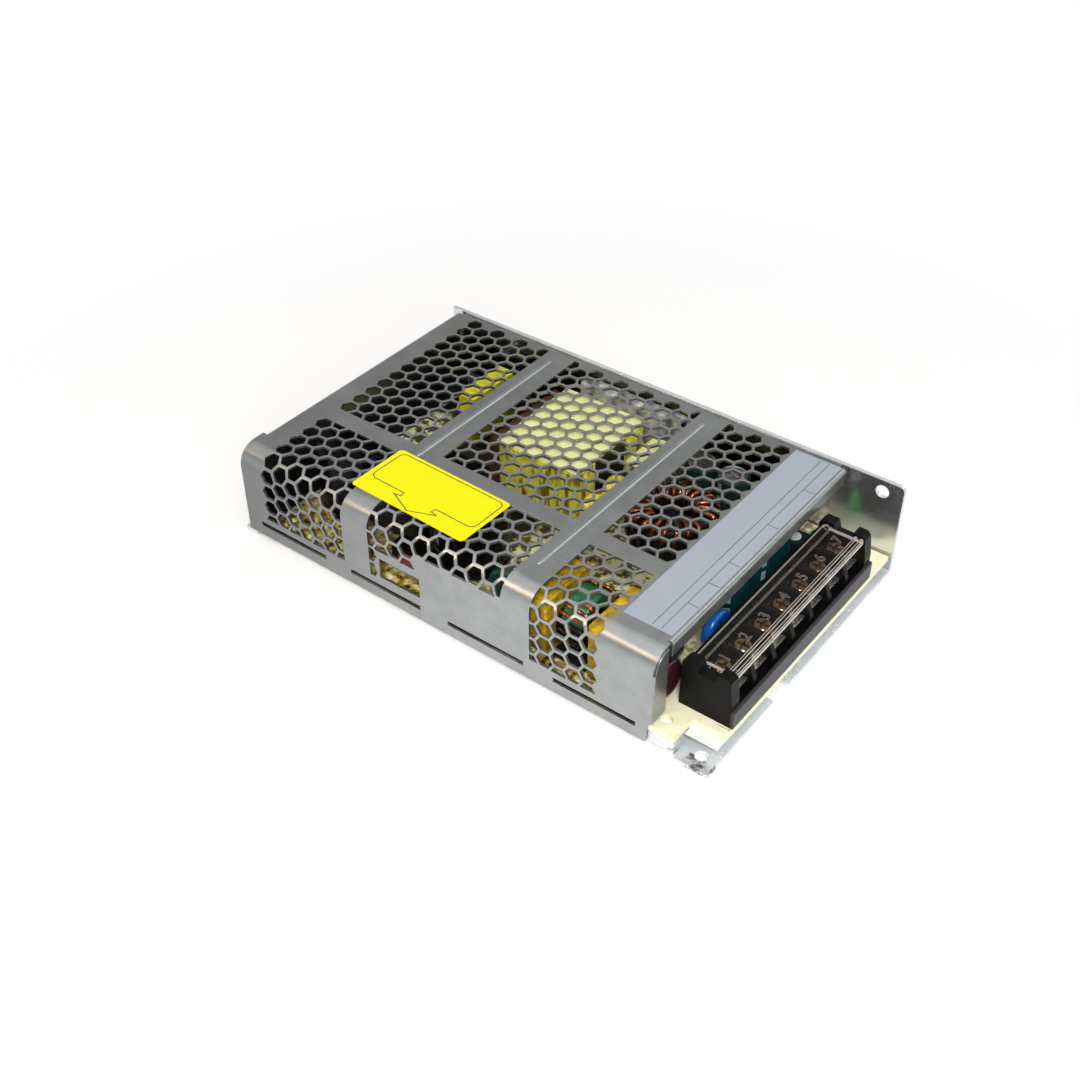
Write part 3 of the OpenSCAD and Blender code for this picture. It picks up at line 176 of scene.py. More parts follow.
def bump(tree, height, depth, strength=1.0, normal=None):
    # depth in millimetres
    inputs = {"Height": height, "Distance": depth * mm, "Strength": strength}
    if normal is not None:
        inputs["Normal"] = normal
    return addNode(tree, "ShaderNodeBump", inputs).outputs[0]


def softEdge(tree, radius):
    # The normal of an edge rounded to a radius in millimetres, or none
    if not radius:
        return None
    return addNode(tree, "ShaderNodeBevel", {"Radius": radius * mm}, samples=4).outputs[0]


def mouldedFinish(name, colour, rough=(0.38, 0.55), grain=0.5, grainDepth=0.012, metallic=0.0,
                  coat=0.0, shade=0.8, patch=9.0, edge=0.0, specular=0.5, foot=None):
    # Colour drifts between two shades over patch millimetres; a fine grain breaks up the gloss
    # and stands up by grainDepth millimetres. foot holds two heights between which the colour
    # falls to a tenth.
    material, tree, shader = newMaterial(name)
    coords = objectCoords(tree)
    drift = noise(tree, coords, patch, detail=4.0)
    fine = noise(tree, coords, grain, detail=2.0, roughness=0.6)
    tone = ramp(tree, drift, [(0.35, darker(colour, shade)), (0.65, colour)])
    if foot:
        tone = blend(tree, towards(tree, axes(tree, coords)[2], *foot), tone, darker(colour, 0.1))
    relief = bump(tree, fine, grainDepth, strength=0.6, normal=softEdge(tree, edge))
    plug(tree, shader, tone, spread(tree, fine, *rough), relief)
    setGloss(shader, metallic, coat, specular=specular)
    return material


# The two sheets. Heights, places and sizes are in millimetres in the part's frame.
coverLook = {"colour": (0.400, 0.422, 0.425), "shade": 0.82, "patch": 6.0, "grain": 0.42,
             "rough": (0.29, 0.34), "edge": 0.18, "smudge": 30.0, "metallic": 0.92,
             # painted shade: upright faces darker towards the rear, inner face of the far wall
             # brown
             "paintedRearShade": {"from": 0.0, "to": -80.0, "part": 0.48},
             "inside": {"x": 80.0, "y": (45.6, 46.75), "z": (0.0, 28.5)}}
chassisLook = {"colour": (0.78, 0.81, 0.825), "shade": 0.86, "patch": 12.0, "grain": 0.5,
               "rough": (0.14, 0.26), "edge": 0.15, "smudge": 24.0, "metallic": 0.94,
               "levelMetallic": 0.45,
               # painted shade where the cover laps over the near flange, and on the far wall's
               # inner face; painted reflection on the front corner of the base
               "lapShade": {"face": -46.0, "rear": -73.0, "front": 60.0, "foot": 1.1,
                           "colour": (0.004, 0.004, 0.004)},
               "inside": {"x": 50.0, "y": (46.6, 48.0), "z": (8.0, 24.0)},
               "cornerReflection": {"from": (72.0, -44.6), "size": 2.6, "spots": (0.46, 0.56), "part": 0.9,
                           "colour": (0.05, 0.055, 0.05)}}
rolled = {"lineWide": 0.9, "lineStretch": 0.05, "mix": (0.55, 0.20, 0.25), "tones": (0.38, 0.62),
          "dulling": 0.10, "dullSpan": (0.45, 0.75), "relief": 0.004,
          # brown is the painted shade of the far wall's inner face
          "shadeBrown": (0.050, 0.042, 0.020)}


def sheetFinish(name, look):
    # Rolled sheet: long faint rolling lines along X, a fine crystalline grain, and wide dull
    # smudges that lift the roughness
    material, tree, shader = newMaterial(name)
    coords = objectCoords(tree)
    x, y, z = axes(tree, coords)
    drift = noise(tree, coords, look["patch"], detail=4.0)
    stretched = objectCoords(tree, (rolled["lineStretch"], 1.0, 1.0))
    lines = noise(tree, stretched, rolled["lineWide"])
    grain = noise(tree, coords, look["grain"], detail=2.0, roughness=0.7)
    smudge = noise(tree, coords, look["smudge"], roughness=0.6, distortion=0.4)
    tones = darker(look["colour"], look["shade"]), look["colour"]
    mixed = weigh(tree, zip((drift, lines, grain), rolled["mix"]))
    tone = ramp(tree, mixed, list(zip(rolled["tones"], tones)))
    inside = look["inside"]  # painted shade: dull brown over the hidden faces of the far wall
    farWallShade = allOf(tree, ("LESS_THAN", x, inside["x"]),
                   ("GREATER_THAN", y, inside["y"][0]), ("LESS_THAN", y, inside["y"][1]),
                   ("GREATER_THAN", z, inside["z"][0]), ("LESS_THAN", z, inside["z"][1]))
    tone = blend(tree, farWallShade, tone, rolled["shadeBrown"])
    if "lapShade" in look:  # painted shade: the near flange is painted black where the cover laps over it and shades it
        lap = look["lapShade"]
        along = allOf(tree, ("GREATER_THAN", x, lap["rear"]), ("LESS_THAN", x, lap["front"]))
        up = allOf(tree, ("LESS_THAN", y, lap["face"]), ("GREATER_THAN", z, lap["foot"]))
        tone = blend(tree, mathNode(tree, "MULTIPLY", along, up), tone, lap["colour"])
    if "cornerReflection" in look:  # painted reflection: dark mottling on the bare front corner of the base, where dark parts are mirrored
        dark = look["cornerReflection"]
        corner = allOf(tree, ("GREATER_THAN", x, dark["from"][0]),
                       ("LESS_THAN", y, dark["from"][1]))
        spots = noise(tree, coords, dark["size"], detail=4.0, roughness=0.65)
        spots = spread(tree, spots, 0.0, dark["part"], *dark["spots"])
        tone = blend(tree, mathNode(tree, "MULTIPLY", corner, spots), tone, dark["colour"])
    if "paintedRearShade" in look:  # painted shade: upright faces darken towards the rear
        rear = look["paintedRearShade"]
        upright = spread(tree, facing(tree), 1.0, 0.0, 0.2, 0.8)
        rearShade = mathNode(tree, "MULTIPLY", upright, towards(tree, x, rear["from"], rear["to"]))
        tone = blend(tree, rearShade, tone, darker(look["colour"], rear["part"]))
    dull = mathNode(tree, "ADD", spread(tree, grain, *look["rough"]),
                    spread(tree, smudge, 0.0, rolled["dulling"], *rolled["dullSpan"]))
    relief = bump(tree, weigh(tree, [(grain, 1.0), (lines, 0.5)]), rolled["relief"],
                  strength=0.4, normal=softEdge(tree, look["edge"]))
    plug(tree, shader, tone, dull, relief)
    setGloss(shader, metallic=look["metallic"])
    if "levelMetallic" in look:  # oxide makes the level faces paler and less mirror-like
        metallic = spread(tree, facing(tree), look["metallic"], look["levelMetallic"], 0.5, 0.95)
        tree.links.new(metallic, shader.inputs["Metallic"])
    return material


def filmFinish(name, colour, rough=0.35, coat=0.3, blotch=0.05, specular=0.5, wave=7.0,
               thread=0.35):
    # Printed film: nearly flat colour, a slow waviness and a faint fibre, wave and thread
    # millimetres across
    material, tree, shader = newMaterial(name)
    coords = objectCoords(tree)
    slow = noise(tree, coords, wave, detail=2.0)
    fibre = noise(tree, coords, thread, roughness=0.7)
    mixed = weigh(tree, [(slow, 0.7), (fibre, 0.3)])
    tone = ramp(tree, mixed, [(0.35, darker(colour, 1 - blotch)), (0.65, colour)])
    relief = bump(tree, slow, depth=0.05, strength=0.4)
    plug(tree, shader, tone, spread(tree, fibre, rough - 0.06, rough + 0.08), relief)
    setGloss(shader, coat=coat, coatRough=0.2, specular=specular)
    return material


# painted light: top and side are lit and shaded copies of one tape colour, fold is painted crease
# shade
tapeLook = {"top": (0.98, 1.0, 0.47), "side": (0.88, 0.86, 0.10), "fold": (0.24, 0.17, 0.012),
            "foldWide": 2.4, "foldStretch": 0.25, "wave": 5.0, "rough": (0.16, 0.30),
            "relief": 0.3}


def tapeFinish(name, look):
    # Polyester tape drawn into upright folds down the sides. The pale top and the deeper sides are
    # painted light and shade on one tape colour, and the folds carry painted crease shade
    material, tree, shader = newMaterial(name)
    drawn = objectCoords(tree, (1.0, 1.0, look["foldStretch"]))
    folds = noise(tree, drawn, look["foldWide"], detail=2.0, roughness=0.5, distortion=0.5)
    slow = noise(tree, objectCoords(tree), look["wave"], detail=2.0)
    side = ramp(tree, folds, [(0.38, look["fold"]), (0.5, look["side"]),
                              (0.66, darker(look["side"], 1.12))])
    top = ramp(tree, slow, [(0.3, darker(look["top"], 0.86)), (0.7, look["top"])])
    level = towards(tree, facing(tree), 0.4, 0.8)
    relief = bump(tree, weigh(tree, [(folds, 0.7), (slow, 0.5)]), look["relief"], strength=0.35)
    plug(tree, shader, blend(tree, level, side, top), spread(tree, slow, *look["rough"]), relief)
    setGloss(shader, coat=0.5, coatRough=0.1)
    return material


# edge is a painted highlight on the upright faces of the clear lid
lidLook = {"face": (0.030, 0.027, 0.021), "edge": (0.86, 0.80, 0.70), "faceAlpha": 0.12,
           "edgeAlpha": 0.66, "rough": (0.04, 0.10), "flow": 6.0, "relief": 0.03, "ior": 1.49}


def clearFinish(name, look):
    # Clear moulding: see-through level faces with a brownish tint, upright edges painted pale and
    # denser as a painted highlight, and slow flow marks in the gloss
    material, tree, shader = newMaterial(name)
    flow = noise(tree, objectCoords(tree), look["flow"], detail=2.0, roughness=0.5, distortion=0.6)
    level = towards(tree, facing(tree), 0.45, 0.9)
    tone = ramp(tree, flow, [(0.3, darker(look["face"], 0.85)), (0.7, look["face"])])
    tone = blend(tree, level, look["edge"], tone)
    relief = bump(tree, flow, look["relief"], strength=0.3)
    plug(tree, shader, tone, spread(tree, flow, *look["rough"]), relief)
    alpha = spread(tree, level, look["edgeAlpha"], look["faceAlpha"], 0.0, 1.0)
    tree.links.new(alpha, shader.inputs["Alpha"])
    shader.inputs["IOR"].default_value = look["ior"]
    return material


# Colours of the laminate, with the places in millimetres where each gives way to the next. Inside
# the case they are painted light and shade.
boardLook = {"open": (0.94, 0.91, 0.66), "mask": (0.90, 0.87, 0.58), "inner": (0.97, 0.95, 0.56),
             "blotShadow": (0.10, 0.075, 0.015), "rear": (0.007, 0.006, 0.004), "rough": (0.28, 0.42),
             "openFrom": (52.0, 60.0), "near": (-30.0, -38.0), "rearShadeEnd": (-2.0, 1.0),
             "spot": (-62.0, 14.0), "spotReach": (15.0, 9.0), "cellScale": 0.11, "cellTones": 2.3,
             "seam": 0.035, "fibre": 0.5, "fibreShade": 0.16, "relief": 0.01,
             "blot": 2.6, "blotSpan": (0.45, 0.56), "nearBlot": 2.0,
             "nearShadeTones": [(0.38, (0.03, 0.018, 0.002)), (0.47, (0.40, 0.26, 0.03)),
                           (0.55, (0.60, 0.52, 0.16)), (0.66, (0.96, 0.95, 0.74))],
             "wander": 12.0, "nearWander": 6.0, "rearWander": 14.0}


def boardFinish(look):
    # Cream laminate under lacquer: flat areas differ where copper lies below, and a fibre grain
    # runs through. It is palest in the open front. Inside it is yellower, a painted stand-in for
    # light bounced between yellow parts, with painted shadows as dark blots, painted shade and
    # highlights mottled brown along the near edge, and painted black shade towards the rear, but
    # for one spot.
    material, tree, shader = newMaterial("boardLacquer")
    coords = objectCoords(tree)
    x, y = axes(tree, coords)[:2]
    cell = {"Vector": coords, "Scale": look["cellScale"], "Randomness": 0.8}
    cells = addNode(tree, "ShaderNodeTexVoronoi", cell, distance="MANHATTAN",
                    feature="F1").outputs[0]
    edges = addNode(tree, "ShaderNodeTexVoronoi", cell, feature="DISTANCE_TO_EDGE").outputs[0]
    picked = mathNode(tree, "FRACT", mathNode(tree, "MULTIPLY", cells, look["cellTones"]))
    areas = ramp(tree, picked, [(0.0, look["mask"]), (0.5, look["open"])], "CONSTANT")
    laid = blend(tree, mathNode(tree, "LESS_THAN", edges, look["seam"]), areas, look["open"])
    fibre = noise(tree, coords, look["fibre"], roughness=0.7)
    shade = spread(tree, fibre, 0.0, look["fibreShade"])
    laid = blend(tree, shade, laid, darker(look["open"], 0.6))
    wander = noise(tree, coords, look["wander"])
    # painted shadows of the parts: dark blots over the inside
    shadowBlots = noise(tree, coords, look["blot"], detail=2.0, roughness=0.5)
    shadowBlots = towards(tree, shadowBlots, *look["blotSpan"])
    inner = blend(tree, shadowBlots, look["inner"], look["blotShadow"])
    # painted shade and highlights: mottled tones along the near edge
    nearShade = ramp(tree, noise(tree, coords, look["nearBlot"], roughness=0.6), look["nearShadeTones"])
    nearShadeZone = towards(tree, weigh(tree, [(y, 1.0), (wander, -look["nearWander"])]), *look["near"])
    inner = blend(tree, nearShadeZone, inner, nearShade)
    squares = [mathNode(tree, "POWER", mathNode(tree, "SUBTRACT", value, middle), 2.0)
               for value, middle in zip((x, y), look["spot"])]
    away = mathNode(tree, "SQRT", weigh(tree, [(square, 1.0) for square in squares]))
    clean = mathNode(tree, "MAXIMUM", nearShadeZone, towards(tree, away, *look["spotReach"]))
    # painted shade: black towards the rear, spared near the near edge and round one spot
    forward = weigh(tree, [(x, 1.0), (wander, look["rearWander"])])
    forward = towards(tree, forward, *look["rearShadeEnd"])
    inner = blend(tree, mathNode(tree, "MAXIMUM", clean, forward), look["rear"], inner)
    tone = blend(tree, towards(tree, x, *look["openFrom"]), inner, laid)
    relief = bump(tree, fibre, look["relief"], strength=0.4)
    plug(tree, shader, tone, spread(tree, fibre, *look["rough"]), relief)
    setGloss(shader, coat=0.1, specular=0.25)
    return material


# Sleeves of the cans. Their stripe has so many dashes for each millimetre of height, a bare part
# between two dashes, and half its width in radians.
sleeveLook = {"dashes": 0.22, "bare": 0.35, "half": 0.16, "drift": 5.0, "shade": 0.3,
              "rough": (0.16, 0.30), "relief": 0.08, "specular": 0.16}


def sleeveFinish(name, colour, stripe, centre, turn):
    # Shrink sleeve with one dashed pale stripe down the side that looks towards turn
    look = sleeveLook
    material, tree, shader = newMaterial(name)
    coords = objectCoords(tree, centre=(centre[0], centre[1], 0), turn=-turn)
    x, y, z = axes(tree, coords)
    around = mathNode(tree, "ABSOLUTE", mathNode(tree, "ARCTAN2", y, x))
    phase = mathNode(tree, "FRACT", mathNode(tree, "MULTIPLY", z, look["dashes"]))
    pale = allOf(tree, ("LESS_THAN", around, look["half"]), ("GREATER_THAN", phase, look["bare"]))
    drift = noise(tree, coords, look["drift"])
    tone = blend(tree, pale, colour, stripe)
    tone = blend(tree, spread(tree, drift, 0.0, look["shade"]), tone, darker(colour, 0.6))
    relief = bump(tree, drift, look["relief"], strength=0.35)
    plug(tree, shader, tone, spread(tree, drift, *look["rough"]), relief)
    setGloss(shader, specular=look["specular"])
    return material


# Enamelled wire. Each foot is how far below the coil's top the darkening starts and ends, and
# wander how far its line moves with the pools.
copperLook = {"colour": (0.62, 0.19, 0.055), "dark": (0.050, 0.010, 0.004), "rough": (0.12, 0.26),
              "pool": 1.6, "poolSpan": (0.38, 0.60), "broad": 7.0, "relief": 0.02, "wander": 1.5,
              "foot": {"output_choke_winding": (1.2, 4.5), "line_choke_windings": (2.4, 4.4)}}


def enamelFinish(name, look, foot):
    # Enamelled wire: deep copper with darker runs where the varnish pooled, falling to near black
    # towards the bottom between the two heights of foot
    material, tree, shader = newMaterial(name)
    coords = objectCoords(tree)
    pooled = noise(tree, coords, look["pool"])
    broad = noise(tree, coords, look["broad"], detail=2.0)
    tone = blend(tree, towards(tree, pooled, *look["poolSpan"]), look["colour"], look["dark"])
    tone = blend(tree, spread(tree, broad, 0.0, 0.5), tone, darker(look["colour"], 0.7))
    height = weigh(tree, [(axes(tree, coords)[2], 1.0), (pooled, look["wander"])])
    tone = blend(tree, towards(tree, height, *foot), tone, darker(look["dark"], 0.15))
    relief = bump(tree, pooled, look["relief"], strength=0.4)
    plug(tree, shader, tone, spread(tree, pooled, *look["rough"]), relief)
    setGloss(shader, metallic=0.9, coat=0.5)
    return material


def dress(material, *names):
    # Gives the named parts one material
    for name in names:
        nodes[name].data.materials.clear()
        nodes[name].data.materials.append(material)


# Plain mouldings and metals: the parts that wear each, and its values
plainLooks = {
    "dullBrass": (["board_standoffs", "board_screws"], {
        "colour": (0.42, 0.35, 0.17), "rough": (0.30, 0.46), "grain": 0.40, "grainDepth": 0.006,
        "metallic": 0.90, "edge": 0.10}),
    "zincPlate": (["cover_side_screws", "cover_rear_screws", "clamp_screws"], {
        "colour": (0.62, 0.62, 0.60), "rough": (0.22, 0.38), "grain": 0.40, "grainDepth": 0.006,
        "metallic": 0.95, "edge": 0.10}),
    # painted glints: near-white matt steel mottled dark stands in for sparkling reflections
    "glintWhiteSteel": (["package_clamp"], {
        "colour": (0.98, 0.98, 0.97), "rough": (0.16, 0.30), "grain": 0.80, "grainDepth": 0.02,
        "metallic": 0.05, "edge": 0.15, "shade": 0.18, "patch": 4.5}),
    "blackMoulding": (["terminal_body", "selector_body"], {
        "colour": (0.006, 0.0055, 0.0055), "rough": (0.30, 0.44), "grain": 0.35,
        "grainDepth": 0.008, "edge": 0.14, "shade": 0.70, "specular": 0.10}),
    "blackEpoxy": (["line_choke_base", "output_choke_base", "bridge_rectifier",
                   "switching_transistor", "output_rectifier_1", "output_rectifier_2",
                   "control_chip"], {
        "colour": (0.012, 0.012, 0.013), "rough": (0.42, 0.60), "grain": 0.30, "grainDepth": 0.014,
        "edge": 0.12, "specular": 0.25}),
    "tinnedBrass": (["terminal_plates", "terminal_clamps", "fuse_clips"], {
        "colour": (0.78, 0.75, 0.70), "rough": (0.14, 0.30), "grain": 0.50, "grainDepth": 0.01,
        "metallic": 0.95, "edge": 0.10}),
    "screwBrass": (["terminal_screws"], {
        "colour": (0.30, 0.21, 0.14), "rough": (0.10, 0.20), "grain": 0.35, "grainDepth": 0.01,
        "metallic": 0.95, "edge": 0.12}),
    # painted shade: dark mottling on the cases and a fall to dark towards the bottom
    "orangeCase": (["x_capacitor_rear", "x_capacitor_front"], {
        "colour": (0.98, 0.62, 0.02), "rough": (0.26, 0.40), "grain": 0.40, "grainDepth": 0.01,
        "edge": 0.25, "shade": 0.30, "patch": 3.0, "foot": (21.0, 2.0)}),
    "yellowCase": (["film_capacitor"], {
        "colour": (0.98, 0.88, 0.012), "rough": (0.28, 0.42), "grain": 0.40, "grainDepth": 0.01,
        "edge": 0.25, "shade": 0.90}),
    "dippedYellow": (["dipped_capacitors"], {
        "colour": (0.96, 0.84, 0.03), "rough": (0.14, 0.26), "grain": 0.90, "grainDepth": 0.05,
        "coat": 0.50, "shade": 0.75, "patch": 4.0}),
    "blueCoat": (["y_capacitor_input", "y_capacitor_output"], {
        "colour": (0.01, 0.12, 0.50), "rough": (0.20, 0.36), "grain": 0.60, "grainDepth": 0.03,
        "coat": 0.40, "shade": 0.60, "patch": 5.0}),
    "maroonCoat": (["varistor", "fuse"], {
        "colour": (0.05, 0.006, 0.014), "rough": (0.24, 0.40), "grain": 0.60, "grainDepth": 0.03,
        "coat": 0.40}),
    "tealCoat": (["thermistor"], {
        "colour": (0.006, 0.075, 0.05), "rough": (0.26, 0.42), "grain": 0.60, "grainDepth": 0.03,
        "coat": 0.30}),
    "ferrite": (["transformer_core", "auxiliary_core"], {
        "colour": (0.018, 0.018, 0.019), "rough": (0.40, 0.62), "grain": 0.25, "grainDepth": 0.02,
        "metallic": 0.20, "edge": 0.20}),
    "bobbinBrown": (["transformer_bobbin"], {
        "colour": (0.10, 0.042, 0.016), "rough": (0.30, 0.48), "grainDepth": 0.01, "edge": 0.15}),
    "greenCore": (["line_choke_core"], {
        "colour": (0.008, 0.14, 0.045), "rough": (0.26, 0.42), "grainDepth": 0.02, "coat": 0.30,
        "foot": (20.5, 18.5)}),
    "darkCore": (["output_choke_core"], {
        "colour": (0.008, 0.008, 0.009), "rough": (0.40, 0.60), "grain": 0.40, "grainDepth": 0.03,
        "specular": 0.20}),
    "redSlider": (["selector_slider"], {
        "colour": (0.34, 0.005, 0.022), "rough": (0.28, 0.42), "grainDepth": 0.008, "edge": 0.12}),
    "trimSlate": (["trimmer_body"], {
        "colour": (0.012, 0.022, 0.03), "rough": (0.28, 0.42), "grainDepth": 0.008, "edge": 0.12}),
    "trimWhite": (["trimmer_rotor"], {
        "colour": (0.80, 0.80, 0.76), "rough": (0.30, 0.44), "grainDepth": 0.008, "edge": 0.10}),
    "ledGreen": (["status_led"], {
        "colour": (0.03, 0.50, 0.09), "rough": (0.06, 0.14), "grain": 1.0, "grainDepth": 0.003,
        "coat": 0.60}),
    "couplerWhite": (["optocoupler"], {
        "colour": (0.72, 0.71, 0.66), "rough": (0.34, 0.50), "grain": 0.40, "grainDepth": 0.008,
        "edge": 0.10}),
    "padWhite": (["insulator_pads"], {
        "colour": (0.82, 0.82, 0.80), "rough": (0.50, 0.70), "grain": 0.40, "grainDepth": 0.02}),
}
for name, (wearers, values) in plainLooks.items():
    dress(mouldedFinish(name, **values), *wearers)


def spanOf(name):
    # Low corner, high corner and middle of a node's box, in millimetres
    low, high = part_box(name)
    low, high = np.array(low) / mm, np.array(high) / mm
    return low, high, (low + high) / 2


filmLooks = {
    "labelFilm": ("front_label", {"colour": (0.350, 0.392, 0.458), "rough": 0.36, "coat": 0.2}),
    "stickerYellow": ("selector_sticker", {"colour": (0.88, 0.80, 0.001), "rough": 0.42,
                                           "coat": 0.05, "blotch": 0.03, "specular": 0.2}),
    "milkyFilm": ("insulating_sheet", {"colour": (0.86, 0.88, 0.85), "rough": 0.30, "coat": 0.3}),
    "blackFilm": ("side_insulator", {"colour": (0.005, 0.005, 0.006), "rough": 0.40, "coat": 0.0,
                                     "specular": 0.12}),
}
for name, (wearer, values) in filmLooks.items():
    dress(filmFinish(name, **values), wearer)
coilEnamel = {}
for name, depths in copperLook["foot"].items():
    top = spanOf(name)[1][2]
    coilEnamel[name] = enamelFinish("enamel_" + name, copperLook, [top - depth for depth in depths])
    dress(coilEnamel[name], name)
dress(sheetFinish("coverSheet", coverLook), "cover")
dress(sheetFinish("chassisSheet", chassisLook), "chassis")
dress(boardFinish(boardLook), "circuit_board")
dress(clearFinish("lidClear", lidLook), "terminal_lid")
dress(tapeFinish("yellowTape", tapeLook), "transformer_winding", "auxiliary_coil")

# Cans: sleeve colour, stripe colour and the side the stripe looks to, in radians
canLooks = {
    "bulk_capacitor_rear": ((0.004, 0.003, 0.008), (0.16, 0.15, 0.20), 2.4),
    "bulk_capacitor_front": ((0.004, 0.003, 0.008), (0.16, 0.15, 0.20), -2.0),
    "filter_capacitor_rear": ((0.012, 0.034, 0.042), (0.42, 0.44, 0.42), 1.2),
    "filter_capacitor_front": ((0.012, 0.034, 0.042), (0.42, 0.44, 0.42), -1.9),
    "output_capacitor_1": ((0.004, 0.040, 0.040), (0.30, 0.42, 0.44), -1.1),
    "output_capacitor_2": ((0.004, 0.040, 0.040), (0.30, 0.42, 0.44), -0.3),
    "output_capacitor_3": ((0.004, 0.040, 0.040), (0.30, 0.42, 0.44), 0.4),
}
for name, (sleeve, stripe, turn) in canLooks.items():
    dress(sleeveFinish("sleeve_" + name, sleeve, stripe, spanOf(name)[2] * mm, turn), name)
print("finishes set")


def gridFaces(rows, cols):
    # Quads between neighbouring rows of a grid whose columns close into rings
    i, j = np.meshgrid(np.arange(rows - 1), np.arange(cols), indexing="ij")
    right = (j + 1) % cols
    here, above = i * cols, (i + 1) * cols
    return np.stack([here + j, above + j, above + right, here + right], -1).reshape(-1, 4)


def closedRings(rings, firstPole, lastPole):
    # A surface through a stack of rings, closed at each end by a fan to a pole
    rows, cols = rings.shape[:2]
    points = np.concatenate([rings.reshape(-1, 3), [firstPole, lastPole]])
    j = np.arange(cols)
    right = (j + 1) % cols
    first = np.stack([np.full(cols, rows * cols), j, right], 1)
    end = (rows - 1) * cols
    last = np.stack([np.full(cols, rows * cols + 1), end + right, end + j], 1)
    return points, gridFaces(rows, cols).tolist() + first.tolist() + last.tolist()


def joined(surfaces):
    # One surface from several: each surface's indices move up by the points before it
    starts = np.cumsum([0] + [len(points) for points, faces in surfaces])
    faces = [(np.array(face) + start).tolist()
             for (points, part), start in zip(surfaces, starts) for face in part]
    return np.concatenate([points for points, part in surfaces]), faces


def addPiece(name, mesh, material, body="case"):
    # Puts a mesh in the scene with its material, on a body
    piece = bpy.data.objects.new(name, mesh)
    bpy.context.scene.collection.objects.link(piece)
    mesh.materials.append(material)
    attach(piece, body)
    return piece


def makePiece(name, surface, material, smooth=True, body="case"):
    # surface is (points in millimetres in the part's frame, faces)
    mesh = bpy.data.meshes.new(name)
    mesh.from_pydata((surface[0] * mm).tolist(), [], surface[1])
    mesh.polygons.foreach_set("use_smooth", np.full(len(mesh.polygons), smooth))
    mesh.update()
    return addPiece(name, mesh, material, body)


def roundWire(path, lean, radius, sides=10):
    # A circle carried along the path and closed at both ends. Its first axis is lean less its
    # part along the tangent, its second the cross product of tangent and first.
    tangent = np.gradient(path, axis=0)
    tangent /= np.linalg.norm(tangent, axis=1, keepdims=True)
    first = lean - (lean * tangent).sum(1, keepdims=True) * tangent
    first /= np.linalg.norm(first, axis=1, keepdims=True)
    second = np.cross(tangent, first)
    angle = np.linspace(0, 2 * np.pi, sides, endpoint=False)[None, :, None]
    circle = np.cos(angle) * first[:, None] + np.sin(angle) * second[:, None]
    rings = path[:, None] + radius * circle
    return closedRings(rings[:, ::-1], path[0], path[-1])


def power(value, exponent):
    # A power that keeps the sign of its base
    return np.sign(value) * np.abs(value) ** exponent


def coilPath(coil, halfWide, halfHigh, ringRadius, startAngle, endAngle):
    # The wire goes round the section of a ring, a superellipse of half sizes halfWide and
    # halfHigh, while the section moves from startAngle to endAngle about the ring's axis.
    # lean is the superellipse's outward normal.
    step = np.linspace(0, 1, int(coil["turns"] * coil["perTurn"]) + 1)
    phase = 2 * np.pi * coil["turns"] * step
    around = startAngle + (endAngle - startAngle) * step
    reach = ringRadius + halfWide * power(np.cos(phase), coil["corner"])
    up = halfHigh * power(np.sin(phase), coil["corner"])
    path = np.stack([reach * np.cos(around), reach * np.sin(around), up], 1)
    leanOut = power(np.cos(phase), 2 - coil["corner"]) / halfWide
    leanUp = power(np.sin(phase), 2 - coil["corner"]) / halfHigh
    return path, np.stack([leanOut * np.cos(around), leanOut * np.sin(around), leanUp], 1)


def ringCoil(coil, outer, halfHigh, startAngle, endAngle):
    # coilPath round a ring of outer radius outer, kept half a wire and a clearance off it
    inner = coil["hole"] / 2
    off = coil["wire"] / 2 + coil["clear"]
    return coilPath(coil, (outer - inner) / 2 + off, halfHigh + off, (outer + inner) / 2,
                    math.radians(startAngle), math.radians(endAngle))


# Coil of the output choke: wire, clearance and hole in millimetres, start and end in degrees
outputCoil = {"turns": 22.0, "wire": 1.38, "clear": 0.18, "hole": 14.0, "start": 8.0, "end": 352.0,
              "perTurn": 40, "corner": 0.42}
low, high, mid = spanOf("output_choke_core")
path, lean = ringCoil(outputCoil, (high[0] - low[0]) / 2, (high[2] - low[2]) / 2,
                      outputCoil["start"], outputCoil["end"])
coil = makePiece("outputCoil", roundWire(path + mid, lean, outputCoil["wire"] / 2),
                 coilEnamel["output_choke_winding"])
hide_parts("output_choke_winding")

# Two coils on opposite halves of the upright ring, whose axis is turned from Z to X
lineCoil = {"turns": 8.0, "wire": 0.98, "clear": 0.17, "hole": 8.6, "half": 62.0,
            "perTurn": 40, "corner": 0.42}
low, high, mid = spanOf("line_choke_core")
wires = []
for side in (0.0, 180.0):
    path, lean = ringCoil(lineCoil, (high[2] - low[2]) / 2, (high[0] - low[0]) / 2,
                          side - lineCoil["half"], side + lineCoil["half"])
    wires.append(roundWire(path[:, [2, 0, 1]] + mid, lean[:, [2, 0, 1]], lineCoil["wire"] / 2))
coil = makePiece("lineCoils", joined(wires), coilEnamel["line_choke_windings"])
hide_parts("line_choke_windings")

# Tops of the cans: heights in millimetres, the rest in shares of the radius
canTopLook = {"wide": 0.86, "lift": 0.12, "sunk": 0.05, "rim": 0.22, "rimAt": 0.94, "rimWide": 0.05,
              "score": 0.11, "scoreWide": 0.045, "scoreReach": 0.64, "rings": 18, "crowd": 0.8,
              "spokes": 48}


